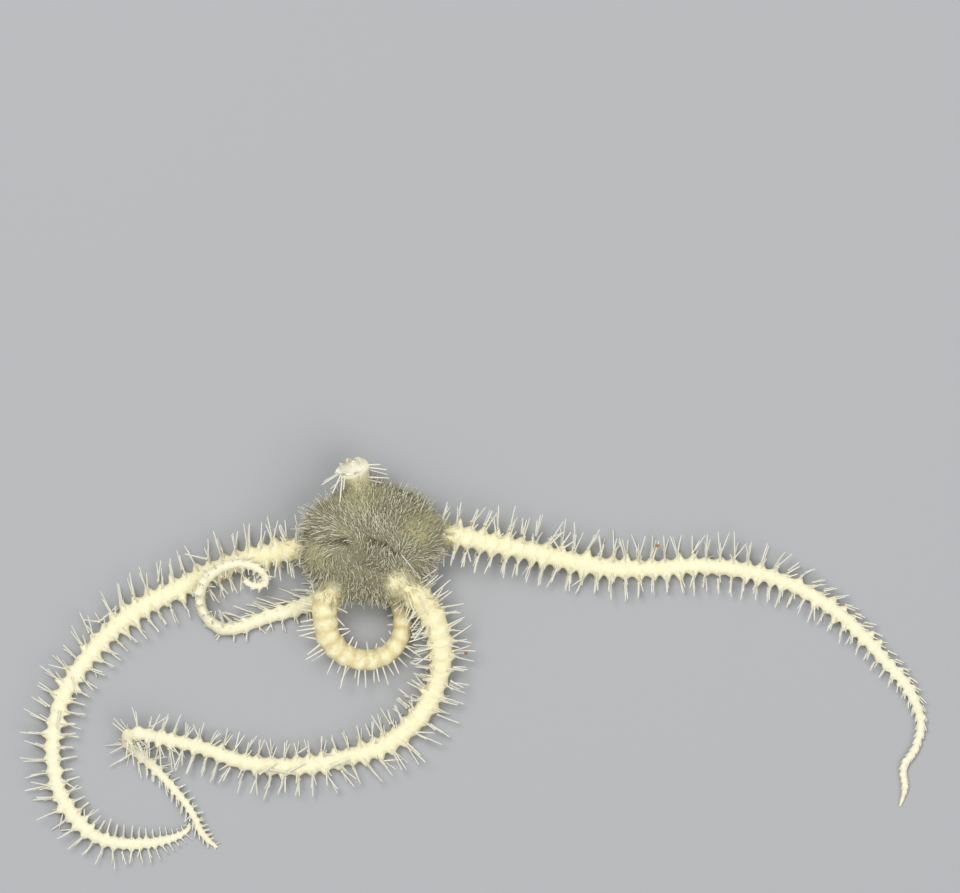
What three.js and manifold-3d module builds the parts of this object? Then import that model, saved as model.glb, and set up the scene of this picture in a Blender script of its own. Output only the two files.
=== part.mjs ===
/*
A brittle star as a still, life-size model: a pale specimen that lies mouth side down, four of its
five arms whole and curled as in life, and the fifth broken off short beside the disc.

Millimetres, +Z up, the floor at z = 0 and the origin on it, under the middle of the model.
An arm is one long row of segments. Each has a waist and a ridge of side plates that carries a row
of spines on both sides. Every arm is parted into a few lengths, each a closed solid of its own.
*/
import * as THREE from 'three';
import { mergeVertices } from 'three/addons/utils/BufferGeometryUtils.js';
import Module from 'manifold-3d';

const wasm = await Module();
wasm.setup();

// The middle of the traced shape, which the origin is under
const MIDDLE = { x: 0.03, y: 0.48 };
// The clear gap that neighbouring pieces keep
const GAP = 0.3;

// The disc: where its middle is, its rim seen from above, and its heights
const DISC = { x: -8.79, y: 10.17, underside: 2.0, rim: 3.1, top: 5.4 };
// Each is [direction in degrees from +X, distance of the rim]
const DISC_RIM = [
  [5, 5.95], [35, 5.4], [65, 4.75], [100, 4.85], [130, 4.95], [160, 5.75],
  [195, 5.95], [225, 5.75], [265, 4.9], [298, 5.15], [330, 4.9],
];
const DISC_STEPS = 28;
const DOME_STEPS = 6;
const BELLY_STEPS = 3;
// How far along it an arm's root lies in a groove of the disc
const GROOVE = 7.5;
const GROOVE_STEPS = 7;
const GROOVE_GAP = 0.36;

// The mouth: five wedge jaws on a round frame, their points around a star-shaped slit
const MOUTH = { x: -8.9, y: 10.1, radius: 1.75, floor: 2.3, top: 3.4 };
const JAW = { underside: 1.92, point: 0.32, pointWidth: 0.3, back: 1.65, backWidth: 1.05 };

// An arm's section as shares of its half width and half height, its flat mouth side last
const SECTION = [[1, -0.1], [0.55, 0.97], [-0.55, 0.97], [-1, -0.1], [-0.6, -1], [0.6, -1]];
const HEIGHT_SHARE = 0.9;
const WAIST_SHARE = 0.94;
const RIDGE = 0.24;
const RIDGE_FULL = 0.75;
const RIDGE_PLACE = 0.55;
// What lies lower than this rests on the floor, as a small flat
const FLOOR_SNAP = 0.12;
// A segment's length along an arm: [share of the arm, millimetres]
const PITCH = [[0, 1.08], [0.2, 1.2], [0.6, 1.2], [0.85, 1.0], [1, 0.8]];
// An arm is parted after so many segments, or where it has turned so far
const MOST_SEGMENTS = 8;
const MOST_TURN = 50;

// Arm spines: root radius, length by share of the arm, and each row's rise above the side
const SPINE_RADIUS = 0.3;
const SPINE_LENGTH = [
  [0, 1.6], [0.12, 2.1], [0.5, 1.95], [0.65, 1.5], [0.8, 1.0], [0.9, 0.6], [1, 0.4],
];
const SPINE_ROWS = [
  { until: 0.2, rises: [-14, 22, 56] },
  { until: 0.8, rises: [-4, 34] },
  { until: 0.96, rises: [12] },
];
// How far spines lean towards the tip, in degrees: by share of the arm, and on the broken arm
const SPINE_LEAN = [[0, 6], [0.6, 8], [0.76, 34], [1, 56]];
const STUB_LEAN = -8;
// A spine beside a cut leans no further over it
const CUT_LEAN = 4;
const TIP_LEAST = 0.08;
// A spine isn't measured against its own arm this near along it
const NEAR_ALONG = 3.2;
const SPINE_SINK = 0.45;

// Disc spinelets
const SPINELET = { count: 90, radius: 0.27, length: 0.95, sink: 0.3, lean: 35 };

/*
The arms' routes, from beside the mouth to the tip. A station is [x, y, lift, half width, twist]:
lift is the height of the arm's lower side, and twist turns the arm about its own line, in degrees,
from its back upward towards the right of its way.
*/
const ARMS = {
  a: [
    [-6.72, 10.35, 1.95, 0.72, 0], [-4.46, 10.58, 1.95, 0.83, 0], [-2.21, 10.67, 1.85, 0.83, 0],
    [0.96, 10.0, 1.35, 0.79, 0], [4.29, 9.33, 0.65, 0.79, 0], [7.63, 8.5, 0.15, 0.75, 0],
    [10.96, 7.92, 0, 0.75, 0], [14.29, 7.83, 0, 0.67, 0], [18.46, 8.08, 0.1, 0.63, 0],
    [21.79, 7.75, 0.25, 0.63, 0], [25.13, 6.92, 0.1, 0.58, 0], [28.46, 5.25, 0, 0.58, 0],
    [31.38, 3.0, 0, 0.54, 0], [33.88, 0.25, 0, 0.46, 0], [35.96, -2.25, 0, 0.42, 0],
    [36.96, -4.92, 0, 0.33, 0], [36.54, -7.08, 0, 0.29, 0], [35.54, -8.75, 0, 0.27, 0],
    [35.63, -10.58, 0, 0.24, 0], [35.21, -12.08, 0, 0.08, 0],
  ],
  b: [
    [-7.52, 8.38, 1.95, 0.72, 0], [-6.4, 7.0, 1.95, 0.9, 0], [-5.54, 6.08, 1.9, 1.0, 0],
    [-3.71, 3.58, 1.6, 0.96, 0], [-3.13, 1.08, 1.0, 0.92, 0], [-3.38, -1.42, 0.45, 0.83, 0],
    [-5.04, -4.58, 0.05, 0.83, 0], [-7.79, -6.83, 0, 0.75, 0], [-11.13, -7.92, 0, 0.67, 0],
    [-15.29, -8.67, 0.1, 0.7, 0], [-19.46, -8.33, 0.1, 0.63, 0], [-23.21, -7.08, 0.35, 0.54, 0],
    [-26.54, -6.25, 1.0, 0.5, 0], [-28.3, -5.9, 1.6, 0.48, 0], [-29.35, -6.25, 0.85, 0.45, 0],
    [-28.75, -7.3, 0.05, 0.44, 0], [-27.38, -8.5, 0, 0.38, 0], [-26.13, -9.83, 0, 0.33, 0],
    [-24.88, -11.25, 0.1, 0.29, 0], [-23.88, -12.67, 0.3, 0.27, 0], [-23.21, -14.08, 0.2, 0.27, 0],
    [-22.54, -14.92, 0, 0.24, 0], [-21.79, -15.5, 0, 0.08, 0],
  ],
  c: [
    [-11.1, 10.0, 1.95, 0.72, 0], [-13.21, 9.75, 1.95, 0.85, 0], [-15.04, 9.5, 1.6, 0.9, 0],
    [-18.21, 8.92, 0.65, 0.75, 0], [-21.54, 7.92, 0.05, 0.75, 0], [-24.88, 6.25, 0, 0.79, 0],
    [-28.21, 4.58, 0, 0.79, 0], [-31.13, 2.25, 0, 0.71, 0], [-33.38, -0.58, 0, 0.67, 0],
    [-34.79, -3.08, 0.2, 0.63, 0], [-35.54, -6.42, 0.25, 0.58, 0], [-35.21, -10.17, 0, 0.58, 0],
    [-33.96, -12.67, 0, 0.58, 0], [-31.88, -14.58, 0, 0.5, 0], [-29.04, -15.17, 0, 0.46, 0],
    [-26.13, -14.83, 0, 0.33, 0], [-24.9, -14.4, 0, 0.25, 0], [-24.25, -13.9, 0, 0.19, 0],
    [-24.15, -13.4, 0, 0.08, 0],
  ],
  d: [
    [-10.1, 8.25, 1.95, 0.72, 0], [-11.4, 7.2, 1.95, 0.9, 0], [-12.71, 5.25, 1.95, 1.05, 0],
    [-12.79, 3.58, 1.85, 1.0, 8], [-12.38, 1.92, 1.6, 0.94, 20], [-10.88, 0.58, 1.2, 0.88, 36],
    [-9.21, 0.25, 0.85, 0.84, 48], [-7.63, 0.75, 0.6, 0.82, 62], [-6.54, 2.08, 0.4, 0.82, 82],
    [-6.36, 3.58, 0.25, 0.82, 104], [-6.75, 5.25, 0.1, 0.76, 134], [-7.79, 6.75, 0, 0.7, 160],
    [-9.46, 7.33, 0, 0.67, 178], [-11.54, 6.33, 0, 0.67, 180], [-13.63, 5.17, 0, 0.63, 180],
    [-15.71, 4.33, 0, 0.58, 180], [-17.79, 3.75, 0, 0.54, 185], [-19.88, 3.0, 0.05, 0.54, 200],
    [-21.38, 2.83, 0.2, 0.54, 225], [-22.63, 3.67, 0.55, 0.5, 255], [-23.21, 5.08, 1.15, 0.46, 280],
    [-22.96, 6.58, 1.75, 0.46, 305], [-21.88, 7.67, 2.05, 0.42, 325], [-20.46, 8.25, 2.3, 0.38, 335],
    [-19.04, 8.17, 2.35, 0.33, 340], [-18.04, 7.58, 2.15, 0.29, 340], [-17.71, 6.83, 1.85, 0.27, 340],
    [-18.38, 6.42, 1.65, 0.27, 340], [-19.21, 6.67, 1.55, 0.24, 340], [-19.54, 7.17, 1.5, 0.1, 340],
  ],
  e: [
    [-9.3, 12.25, 1.95, 0.75, 0], [-9.65, 13.7, 1.95, 0.95, 0], [-9.9, 14.7, 2.05, 0.98, 0],
    [-10.2, 15.7, 2.4, 1.1, 0], [-10.5, 16.5, 2.9, 1.16, 0],
  ],
};

const CREAM = { color: 0xfaf3cd, roughness: 0.5, metalness: 0 };
const GREY = { color: 0xa09a86, roughness: 0.55, metalness: 0 };
const YELLOW = { color: 0xe3d39c, roughness: 0.5, metalness: 0 };

const UP = new THREE.Vector3(0, 0, 1);
const radians = THREE.MathUtils.degToRad;

// A seeded draw between two values
function drawFrom(seed) {
  let state = seed;
  return (low, high) => {
    state = (state + 0x6d2b79f5) | 0;
    let t = Math.imul(state ^ (state >>> 15), 1 | state);
    t = (t + Math.imul(t ^ (t >>> 7), 61 | t)) ^ t;
    return low + (high - low) * (((t ^ (t >>> 14)) >>> 0) / 4294967296);
  };
}

// The value at x of a table of [place, value] rows
function along(table, x) {
  let i = 1;
  while (i < table.length - 1 && x > table[i][0]) i += 1;
  const [x0, y0] = table[i - 1];
  const [x1, y1] = table[i];
  return y0 + (y1 - y0) * THREE.MathUtils.clamp((x - x0) / (x1 - x0), 0, 1);
}

// Closed solids

function solidOf(geometry) {
  const bare = geometry.clone();
  bare.deleteAttribute('normal');
  bare.deleteAttribute('uv');
  const merged = mergeVertices(bare, 1e-5);
  return new wasm.Manifold(new wasm.Mesh({
    numProp: 3,
    vertProperties: new Float32Array(merged.attributes.position.array),
    triVerts: new Uint32Array(merged.index.array),
  }));
}

// The mesh of a solid's largest closed surface
function meshOf(name, solid, look) {
  const bodies = solid.decompose();
  const body = bodies.reduce((best, next) => (next.volume() > best.volume() ? next : best));
  const { vertProperties, triVerts } = body.getMesh();
  const geometry = new THREE.BufferGeometry();
  geometry.setAttribute('position', new THREE.BufferAttribute(vertProperties, 3));
  geometry.setIndex(new THREE.BufferAttribute(triVerts, 1));
  geometry.computeVertexNormals();
  const mesh = new THREE.Mesh(geometry, new THREE.MeshStandardMaterial(look));
  mesh.name = name;
  return mesh;
}

// A closed tube through rings of points that all have the same count
function tubeOf(rings) {
  const count = rings[0].length;
  const last = (rings.length - 1) * count;
  const index = [];
  for (let i = 0; i < last; i += count) {
    for (let j = 0; j < count; j += 1) {
      const k = (j + 1) % count;
      index.push(i + j, i + count + k, i + k, i + j, i + count + j, i + count + k);
    }
  }
  for (let j = 1; j < count - 1; j += 1) {
    index.push(0, j, j + 1, last, last + j + 1, last + j);
  }
  const geometry = new THREE.BufferGeometry();
  geometry.setFromPoints(rings.flat());
  geometry.setIndex(index);
  return geometry;
}

// A three-sided spine from its sunk root to its point
function spikeOf(spike) {
  const way = spike.tip.clone().sub(spike.root);
  const length = way.length();
  const geometry = new THREE.ConeGeometry(spike.radius, length, 3);
  geometry.translate(0, length / 2, 0);
  const turn = new THREE.Quaternion().setFromUnitVectors(
    new THREE.Vector3(0, 1, 0), way.normalize(),
  );
  geometry.applyQuaternion(turn);
  geometry.translate(spike.root.x, spike.root.y, spike.root.z);
  return geometry;
}

// How fast an arm that a bend has rolled rights itself again
const LEVELLING = 0.12;

// The line of an arm: its middle, its way, its back and its half width at any distance along it
class Route {
  constructor(stations) {
    const middles = stations.map(([x, y, lift, width]) => (
      new THREE.Vector3(x, y, lift + width * HEIGHT_SHARE)));
    const curve = new THREE.CatmullRomCurve3(middles);
    const steps = 20;
    const count = (stations.length - 1) * steps;
    this.samples = [];
    let back = UP.clone();
    for (let i = 0; i <= count; i += 1) {
      const t = i / count;
      const k = Math.min(Math.floor(i / steps), stations.length - 2);
      const part = i / steps - k;
      const mix = (n) => stations[k][n] + (stations[k + 1][n] - stations[k][n]) * part;
      const middle = curve.getPoint(t);
      const way = curve.getTangent(t);
      back = back.clone().addScaledVector(way, -back.dot(way)).normalize();
      const level = UP.clone().addScaledVector(way, -way.z);
      if (back.dot(level) < 0) level.negate();
      back.addScaledVector(level, LEVELLING).normalize();
      const before = this.samples[i - 1];
      const s = before ? before.s + middle.distanceTo(before.middle) : 0;
      this.samples.push({ s, middle, way, back, width: mix(3), twist: radians(mix(4)) });
    }
    this.length = this.samples[count].s;
  }

  at(s) {
    let i = 1;
    while (i < this.samples.length - 1 && s > this.samples[i].s) i += 1;
    const a = this.samples[i - 1];
    const b = this.samples[i];
    const part = (s - a.s) / (b.s - a.s);
    const middle = a.middle.clone().lerp(b.middle, part);
    const way = a.way.clone().lerp(b.way, part).normalize();
    const plain = a.back.clone().lerp(b.back, part).normalize();
    const twist = THREE.MathUtils.lerp(a.twist, b.twist, part);
    const back = plain.applyAxisAngle(way, -twist);
    const side = way.clone().cross(back);
    return { middle, way, back, side, width: THREE.MathUtils.lerp(a.width, b.width, part) };
  }
}

// One ring of an arm's section: its side points stand out by a ridge, all of it by a margin, and
// it can be moved straight along the arm's way
function ringAt(route, s, share, { ridge = 0, margin = 0, move = 0 } = {}) {
  const { middle, way, back, side, width } = route.at(s);
  return SECTION.map(([u, v]) => {
    const stand = Math.abs(u) === 1 ? ridge * Math.sign(u) : 0;
    const across = u * (width * share + margin) + stand;
    const rise = v * (width * HEIGHT_SHARE + margin);
    const point = middle.clone().addScaledVector(way, move)
      .addScaledVector(side, across).addScaledVector(back, rise);
    if (point.z < FLOOR_SNAP) point.z = 0;
    return point;
  });
}

// The segments of an arm, and the lengths that it is parted into
function segmentsOf(route) {
  const starts = [0];
  let s = 0;
  while (s < route.length - 1.4) {
    s += along(PITCH, s / route.length);
    starts.push(Math.min(s, route.length));
  }
  starts[starts.length - 1] = route.length;
  const segments = [];
  for (let i = 0; i + 1 < starts.length; i += 1) {
    segments.push({ from: starts[i], to: starts[i + 1], number: i });
  }
  return segments;
}

function lengthsOf(route, segments) {
  const lengths = [];
  let group = [];
  let turn = 0;
  for (const segment of segments) {
    group.push(segment);
    turn += THREE.MathUtils.radToDeg(route.at(segment.from).way.angleTo(route.at(segment.to).way));
    const left = segments.length - 1 - segment.number;
    if ((group.length >= MOST_SEGMENTS || turn > MOST_TURN) && left > 2) {
      lengths.push(group);
      group = [];
      turn = 0;
    }
  }
  lengths.push(group);
  return lengths;
}

// The bare solid of one length of an arm
function lengthOf(route, group) {
  const rings = [];
  group.forEach((segment, i) => {
    const place = segment.from + (segment.to - segment.from) * RIDGE_PLACE;
    const ridge = RIDGE * Math.min(route.at(place).width / RIDGE_FULL, 1);
    const move = i === 0 && segment.number > 0 ? GAP / 2 : 0;
    rings.push(ringAt(route, segment.from, WAIST_SHARE, { move }));
    rings.push(ringAt(route, place, 1, { ridge }));
  });
  const { to } = group[group.length - 1];
  rings.push(ringAt(route, to, WAIST_SHARE, { move: to < route.length ? -GAP / 2 : 0 }));
  return tubeOf(rings);
}

// What an arm's root takes out of the disc: the arm itself and the gap round it
function grooveOf(route) {
  const reach = Math.min(GROOVE, route.length);
  const rings = [ringAt(route, 0, 1, { ridge: RIDGE, margin: GROOVE_GAP, move: -GAP })];
  for (let i = 1; i <= GROOVE_STEPS; i += 1) {
    rings.push(ringAt(route, (reach * i) / GROOVE_STEPS, 1, { ridge: RIDGE, margin: GROOVE_GAP }));
  }
  return tubeOf(rings);
}

// The disc's rim, from above: a smooth closed curve through the measured distances
function rimAt(angle) {
  const count = DISC_RIM.length;
  const turn = THREE.MathUtils.euclideanModulo(angle - DISC_RIM[0][0], 360);
  const place = (i) => DISC_RIM[i % count][0] - DISC_RIM[0][0] + (i >= count ? 360 : 0);
  let i = 0;
  while (place(i + 1) <= turn) i += 1;
  const part = (turn - place(i)) / (place(i + 1) - place(i));
  const ease = part * part * (3 - 2 * part);
  return THREE.MathUtils.lerp(DISC_RIM[i % count][1], DISC_RIM[(i + 1) % count][1], ease);
}

// Heights of the disc's back and belly at a share of the way out to its rim
function backHeight(share) {
  return DISC.rim + (DISC.top - DISC.rim) * (1 - share ** 2.4) ** 0.6;
}

function bellyHeight(share) {
  return DISC.rim - (DISC.rim - DISC.underside) * (1 - share ** 5) ** 0.5;
}

function discPoint(angle, share, height) {
  const reach = rimAt(angle) * share;
  return new THREE.Vector3(
    DISC.x + reach * Math.cos(radians(angle)), DISC.y + reach * Math.sin(radians(angle)), height,
  );
}

function domeOf() {
  const profile = [];
  for (let i = 0; i <= BELLY_STEPS; i += 1) {
    const share = Math.sin(radians((90 * i) / BELLY_STEPS));
    profile.push(new THREE.Vector2(share, bellyHeight(share)));
  }
  for (let i = DOME_STEPS - 1; i >= 0; i -= 1) {
    const share = Math.sin(radians((90 * i) / DOME_STEPS));
    profile.push(new THREE.Vector2(share, backHeight(share)));
  }
  const geometry = new THREE.LatheGeometry(profile, DISC_STEPS);
  const place = geometry.attributes.position;
  for (let i = 0; i < place.count; i += 1) {
    const share = Math.hypot(place.getX(i), place.getZ(i));
    const angle = THREE.MathUtils.radToDeg(Math.atan2(-place.getZ(i), place.getX(i)));
    const point = discPoint(share > 1e-6 ? angle : 0, share, place.getY(i));
    place.setXYZ(i, point.x, point.y, point.z);
  }
  return geometry;
}

// The mouth frame with its five jaws, each between two arms

function upright(radius, low, high) {
  const geometry = new THREE.CylinderGeometry(radius, radius, high - low, 20);
  geometry.rotateX(Math.PI / 2);
  geometry.translate(MOUTH.x, MOUTH.y, (low + high) / 2);
  return geometry;
}

function mouthOf() {
  const frame = upright(MOUTH.radius, MOUTH.floor, MOUTH.top);
  let solid = solidOf(frame);
  const roots = Object.values(ARMS).map(([[x, y]]) => Math.atan2(y - MOUTH.y, x - MOUTH.x));
  roots.sort((p, q) => p - q);
  roots.forEach((root, i) => {
    const next = i + 1 < roots.length ? roots[i + 1] : roots[0] + 2 * Math.PI;
    const outline = new THREE.Shape([
      new THREE.Vector2(JAW.point, -JAW.pointWidth / 2),
      new THREE.Vector2(JAW.back, -JAW.backWidth / 2),
      new THREE.Vector2(JAW.back, JAW.backWidth / 2),
      new THREE.Vector2(JAW.point, JAW.pointWidth / 2),
    ]);
    const depth = MOUTH.floor + GAP - JAW.underside;
    const jaw = new THREE.ExtrudeGeometry(outline, { depth, bevelEnabled: false });
    jaw.rotateZ((root + next) / 2);
    jaw.translate(MOUTH.x, MOUTH.y, JAW.underside);
    solid = solid.add(solidOf(jaw));
  });
  return solid;
}

// Clearances: everything that a spine has to pass is a tapered rod with a root, a tip and radii

// The least gap between two rods, from a few places along each
function gapBetween(rod, other) {
  let least = Infinity;
  const u = other.tip.clone().sub(other.root);
  const square = Math.max(u.lengthSq(), 1e-9);
  const steps = 8;
  for (let i = 0; i <= steps; i += 1) {
    const point = rod.root.clone().lerp(rod.tip, i / steps);
    const t = THREE.MathUtils.clamp(point.clone().sub(other.root).dot(u) / square, 0, 1);
    const near = other.root.clone().addScaledVector(u, t);
    const own = THREE.MathUtils.lerp(rod.radius, rod.tipRadius, i / steps);
    const its = THREE.MathUtils.lerp(other.radius, other.tipRadius, t);
    least = Math.min(least, point.distanceTo(near) - own - its);
  }
  return least;
}

function clearOfDisc(point, margin) {
  const x = point.x - DISC.x;
  const y = point.y - DISC.y;
  const share = Math.hypot(x, y) / (rimAt(THREE.MathUtils.radToDeg(Math.atan2(y, x))) + margin);
  return share >= 1 || point.z > backHeight(share) + margin
    || point.z < DISC.underside - margin;
}

// The part of a spine that stands clear of the surface it grows from
function bareOf(spike, depth) {
  const share = depth / spike.root.distanceTo(spike.tip);
  return {
    ...spike,
    root: spike.root.clone().lerp(spike.tip, share),
    radius: spike.radius * (1 - share),
  };
}

// Whether a spine keeps its gap to every other node, the disc and the floor
function fits(spike, rods) {
  if (spike.tip.z < TIP_LEAST || spike.root.z < spike.radius) return false;
  for (let i = 1; i <= 6; i += 1) {
    const point = spike.root.clone().lerp(spike.tip, i / 6);
    if (!clearOfDisc(point, GAP + 0.1)) return false;
  }
  return rods.every((rod) => {
    if (rod.body && rod.arm === spike.arm && Math.abs(spike.s - rod.s) < NEAR_ALONG) return true;
    return gapBetween(spike, rod) > (rod.node === spike.node && !rod.body ? 0.02 : GAP);
  });
}

// The rods that stand for the bodies of the arms
function bodyRods(arm, node, route, from, to) {
  const rods = [];
  const count = Math.max(1, Math.round((to - from) / 0.7));
  for (let i = 0; i < count; i += 1) {
    const s = from + ((to - from) * i) / count;
    const end = from + ((to - from) * (i + 1)) / count;
    const a = route.at(s);
    const b = route.at(end);
    rods.push({
      root: a.middle,
      tip: b.middle,
      radius: a.width + RIDGE,
      tipRadius: b.width + RIDGE,
      node,
      arm,
      s: (s + end) / 2,
      body: true,
    });
  }
  return rods;
}

// The spines of one length: rows on both sides of each segment's ridge
function spinesOf(arm, route, piece, rods, draw) {
  const spikes = [];
  piece.group.forEach((segment, order) => {
    const s = segment.from + (segment.to - segment.from) * RIDGE_PLACE;
    const share = s / route.length;
    const row = arm === 'e' ? SPINE_ROWS[0] : SPINE_ROWS.find(({ until }) => share < until);
    if (!row) return;
    const frame = route.at(s);
    const mean = arm === 'e' ? STUB_LEAN : along(SPINE_LEAN, share);
    const least = order === 0 ? -CUT_LEAN : -90;
    const most = order === piece.group.length - 1 ? CUT_LEAN : 90;
    const swell = Math.min(SPINE_RADIUS, frame.width * 0.72);
    for (const hand of [-1, 1]) {
      for (const rise of row.rises) {
        for (let tries = 0; tries < 7; tries += 1) {
          const angle = radians(rise + draw(-7, 7) + tries * 4);
          const lean = radians(THREE.MathUtils.clamp(mean + draw(-12, 10), least, most));
          const out = frame.side.clone().multiplyScalar(hand * Math.cos(angle))
            .addScaledVector(frame.back, Math.sin(angle));
          const way = out.clone().multiplyScalar(Math.cos(lean))
            .addScaledVector(frame.way, Math.sin(lean));
          const reach = along(SPINE_LENGTH, share) * draw(0.85, 1.12) * (1 - tries * 0.08);
          const root = frame.middle.clone().addScaledVector(out, frame.width * SPINE_SINK);
          const tip = root.clone().addScaledVector(way, frame.width * (1 - SPINE_SINK) + reach);
          const spike = { root, tip, radius: swell, tipRadius: 0, node: piece.name, arm, s };
          const bare = bareOf(spike, frame.width * (1 - SPINE_SINK));
          if (fits(bare, rods)) {
            spikes.push(spike);
            rods.push(bare);
            break;
          }
        }
      }
    }
  });
  return spikes;
}

// The disc's spinelets, spread evenly over its back and the upper part of its rim
function spineletsOf(rods, draw) {
  const spikes = [];
  const golden = 137.508;
  for (let i = 0; i < SPINELET.count; i += 1) {
    const share = Math.sqrt((i + 0.5) / SPINELET.count) * 0.985;
    const angle = i * golden;
    const point = discPoint(angle, share, backHeight(share));
    const out = new THREE.Vector3(Math.cos(radians(angle)), Math.sin(radians(angle)), 0);
    const slope = radians(SPINELET.lean + 50 * share ** 3 + draw(-12, 12));
    const way = out.clone().multiplyScalar(Math.sin(slope)).addScaledVector(UP, Math.cos(slope));
    way.applyAxisAngle(UP, radians(draw(-25, 25)));
    const root = point.clone().addScaledVector(way, -SPINELET.sink);
    const tip = point.clone().addScaledVector(way, SPINELET.length * draw(0.8, 1.15));
    const spike = { root, tip, radius: SPINELET.radius, tipRadius: 0, node: 'disc', s: 0 };
    const bare = bareOf(spike, SPINELET.sink);
    const free = rods.every((rod) => gapBetween(bare, rod) > (rod.node === 'disc' ? 0.02 : GAP));
    if (free) {
      spikes.push(spike);
      rods.push(bare);
    }
  }
  return spikes;
}

function withSpikes(solid, spikes) {
  return spikes.reduce((sum, spike) => sum.add(solidOf(spikeOf(spike))), solid);
}

// The model

const model = new THREE.Group();
model.name = 'brittle_star';
model.position.set(-MIDDLE.x, -MIDDLE.y, 0);
const rods = [];
const pieces = [];
for (const [arm, stations] of Object.entries(ARMS)) {
  const route = new Route(stations);
  lengthsOf(route, segmentsOf(route)).forEach((group, i) => {
    const name = arm === 'e' ? 'arm_e_stub' : `arm_${arm}_${String(i + 1).padStart(2, '0')}`;
    const from = group[0].from;
    const to = group[group.length - 1].to;
    pieces.push({ name, arm, route, group });
    rods.push(...bodyRods(arm, name, route, from, to));
  });
}
const draw = drawFrom(11);
for (const piece of pieces) {
  const spikes = spinesOf(piece.arm, piece.route, piece, rods, draw);
  const solid = withSpikes(solidOf(lengthOf(piece.route, piece.group)), spikes);
  model.add(meshOf(piece.name, solid, CREAM));
}

const mouth = mouthOf();
let disc = solidOf(domeOf());
disc = disc.subtract(solidOf(upright(MOUTH.radius + GAP, 0, MOUTH.top + GAP)));
for (const stations of Object.values(ARMS)) {
  disc = disc.subtract(solidOf(grooveOf(new Route(stations))));
}
disc = withSpikes(disc, spineletsOf(rods, draw));
model.add(meshOf('disc', disc, GREY));
model.add(meshOf('mouth', mouth, YELLOW));

export default model;
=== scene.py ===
"""A pale brittle star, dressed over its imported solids.

One skin replaces the disc and every arm length, and carries the arm plates, the combs that the
spines stand on, the tube-foot pores and the folds of the disc. Glassy arm spines, hair-fine disc
spinelets, the jaws, the chalky broken end of the fifth arm and a few grains of sand are pieces of
their own. Everything is in metres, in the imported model's frame.
"""

import math
from bisect import bisect_right

import bmesh
import bpy
import numpy as np
from bpy.props import FloatProperty, FloatVectorProperty, IntProperty, PointerProperty
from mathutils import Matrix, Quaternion, Vector, noise


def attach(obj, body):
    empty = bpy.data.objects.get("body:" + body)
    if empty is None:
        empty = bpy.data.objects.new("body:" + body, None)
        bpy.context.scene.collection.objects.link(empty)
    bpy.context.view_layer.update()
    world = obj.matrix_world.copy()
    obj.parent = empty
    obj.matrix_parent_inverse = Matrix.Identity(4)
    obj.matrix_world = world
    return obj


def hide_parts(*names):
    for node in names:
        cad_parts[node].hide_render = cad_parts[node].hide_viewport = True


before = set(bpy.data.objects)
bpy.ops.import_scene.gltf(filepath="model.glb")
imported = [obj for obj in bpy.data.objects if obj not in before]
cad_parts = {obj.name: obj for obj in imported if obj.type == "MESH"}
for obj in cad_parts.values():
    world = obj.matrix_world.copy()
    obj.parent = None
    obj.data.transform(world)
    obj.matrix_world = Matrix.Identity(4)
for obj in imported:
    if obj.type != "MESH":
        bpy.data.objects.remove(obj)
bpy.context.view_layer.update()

bl_info = {
    "name": "Brittle star",
    "version": (1, 0, 0),
    "blender": (4, 5, 0),
    "location": "3D View > Sidebar > Brittle star",
    "description": "Skin, spines, spinelets and mouth of a pale brittle star",
    "category": "Mesh",
}

MM = 0.001
UP = Vector((0.0, 0.0, 1.0))
# What the skin's mesh tells its material at each point
MARKS = ("line", "band", "pore", "comb", "coat", "root", "share", "fold", "chalk", "olive")

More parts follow.
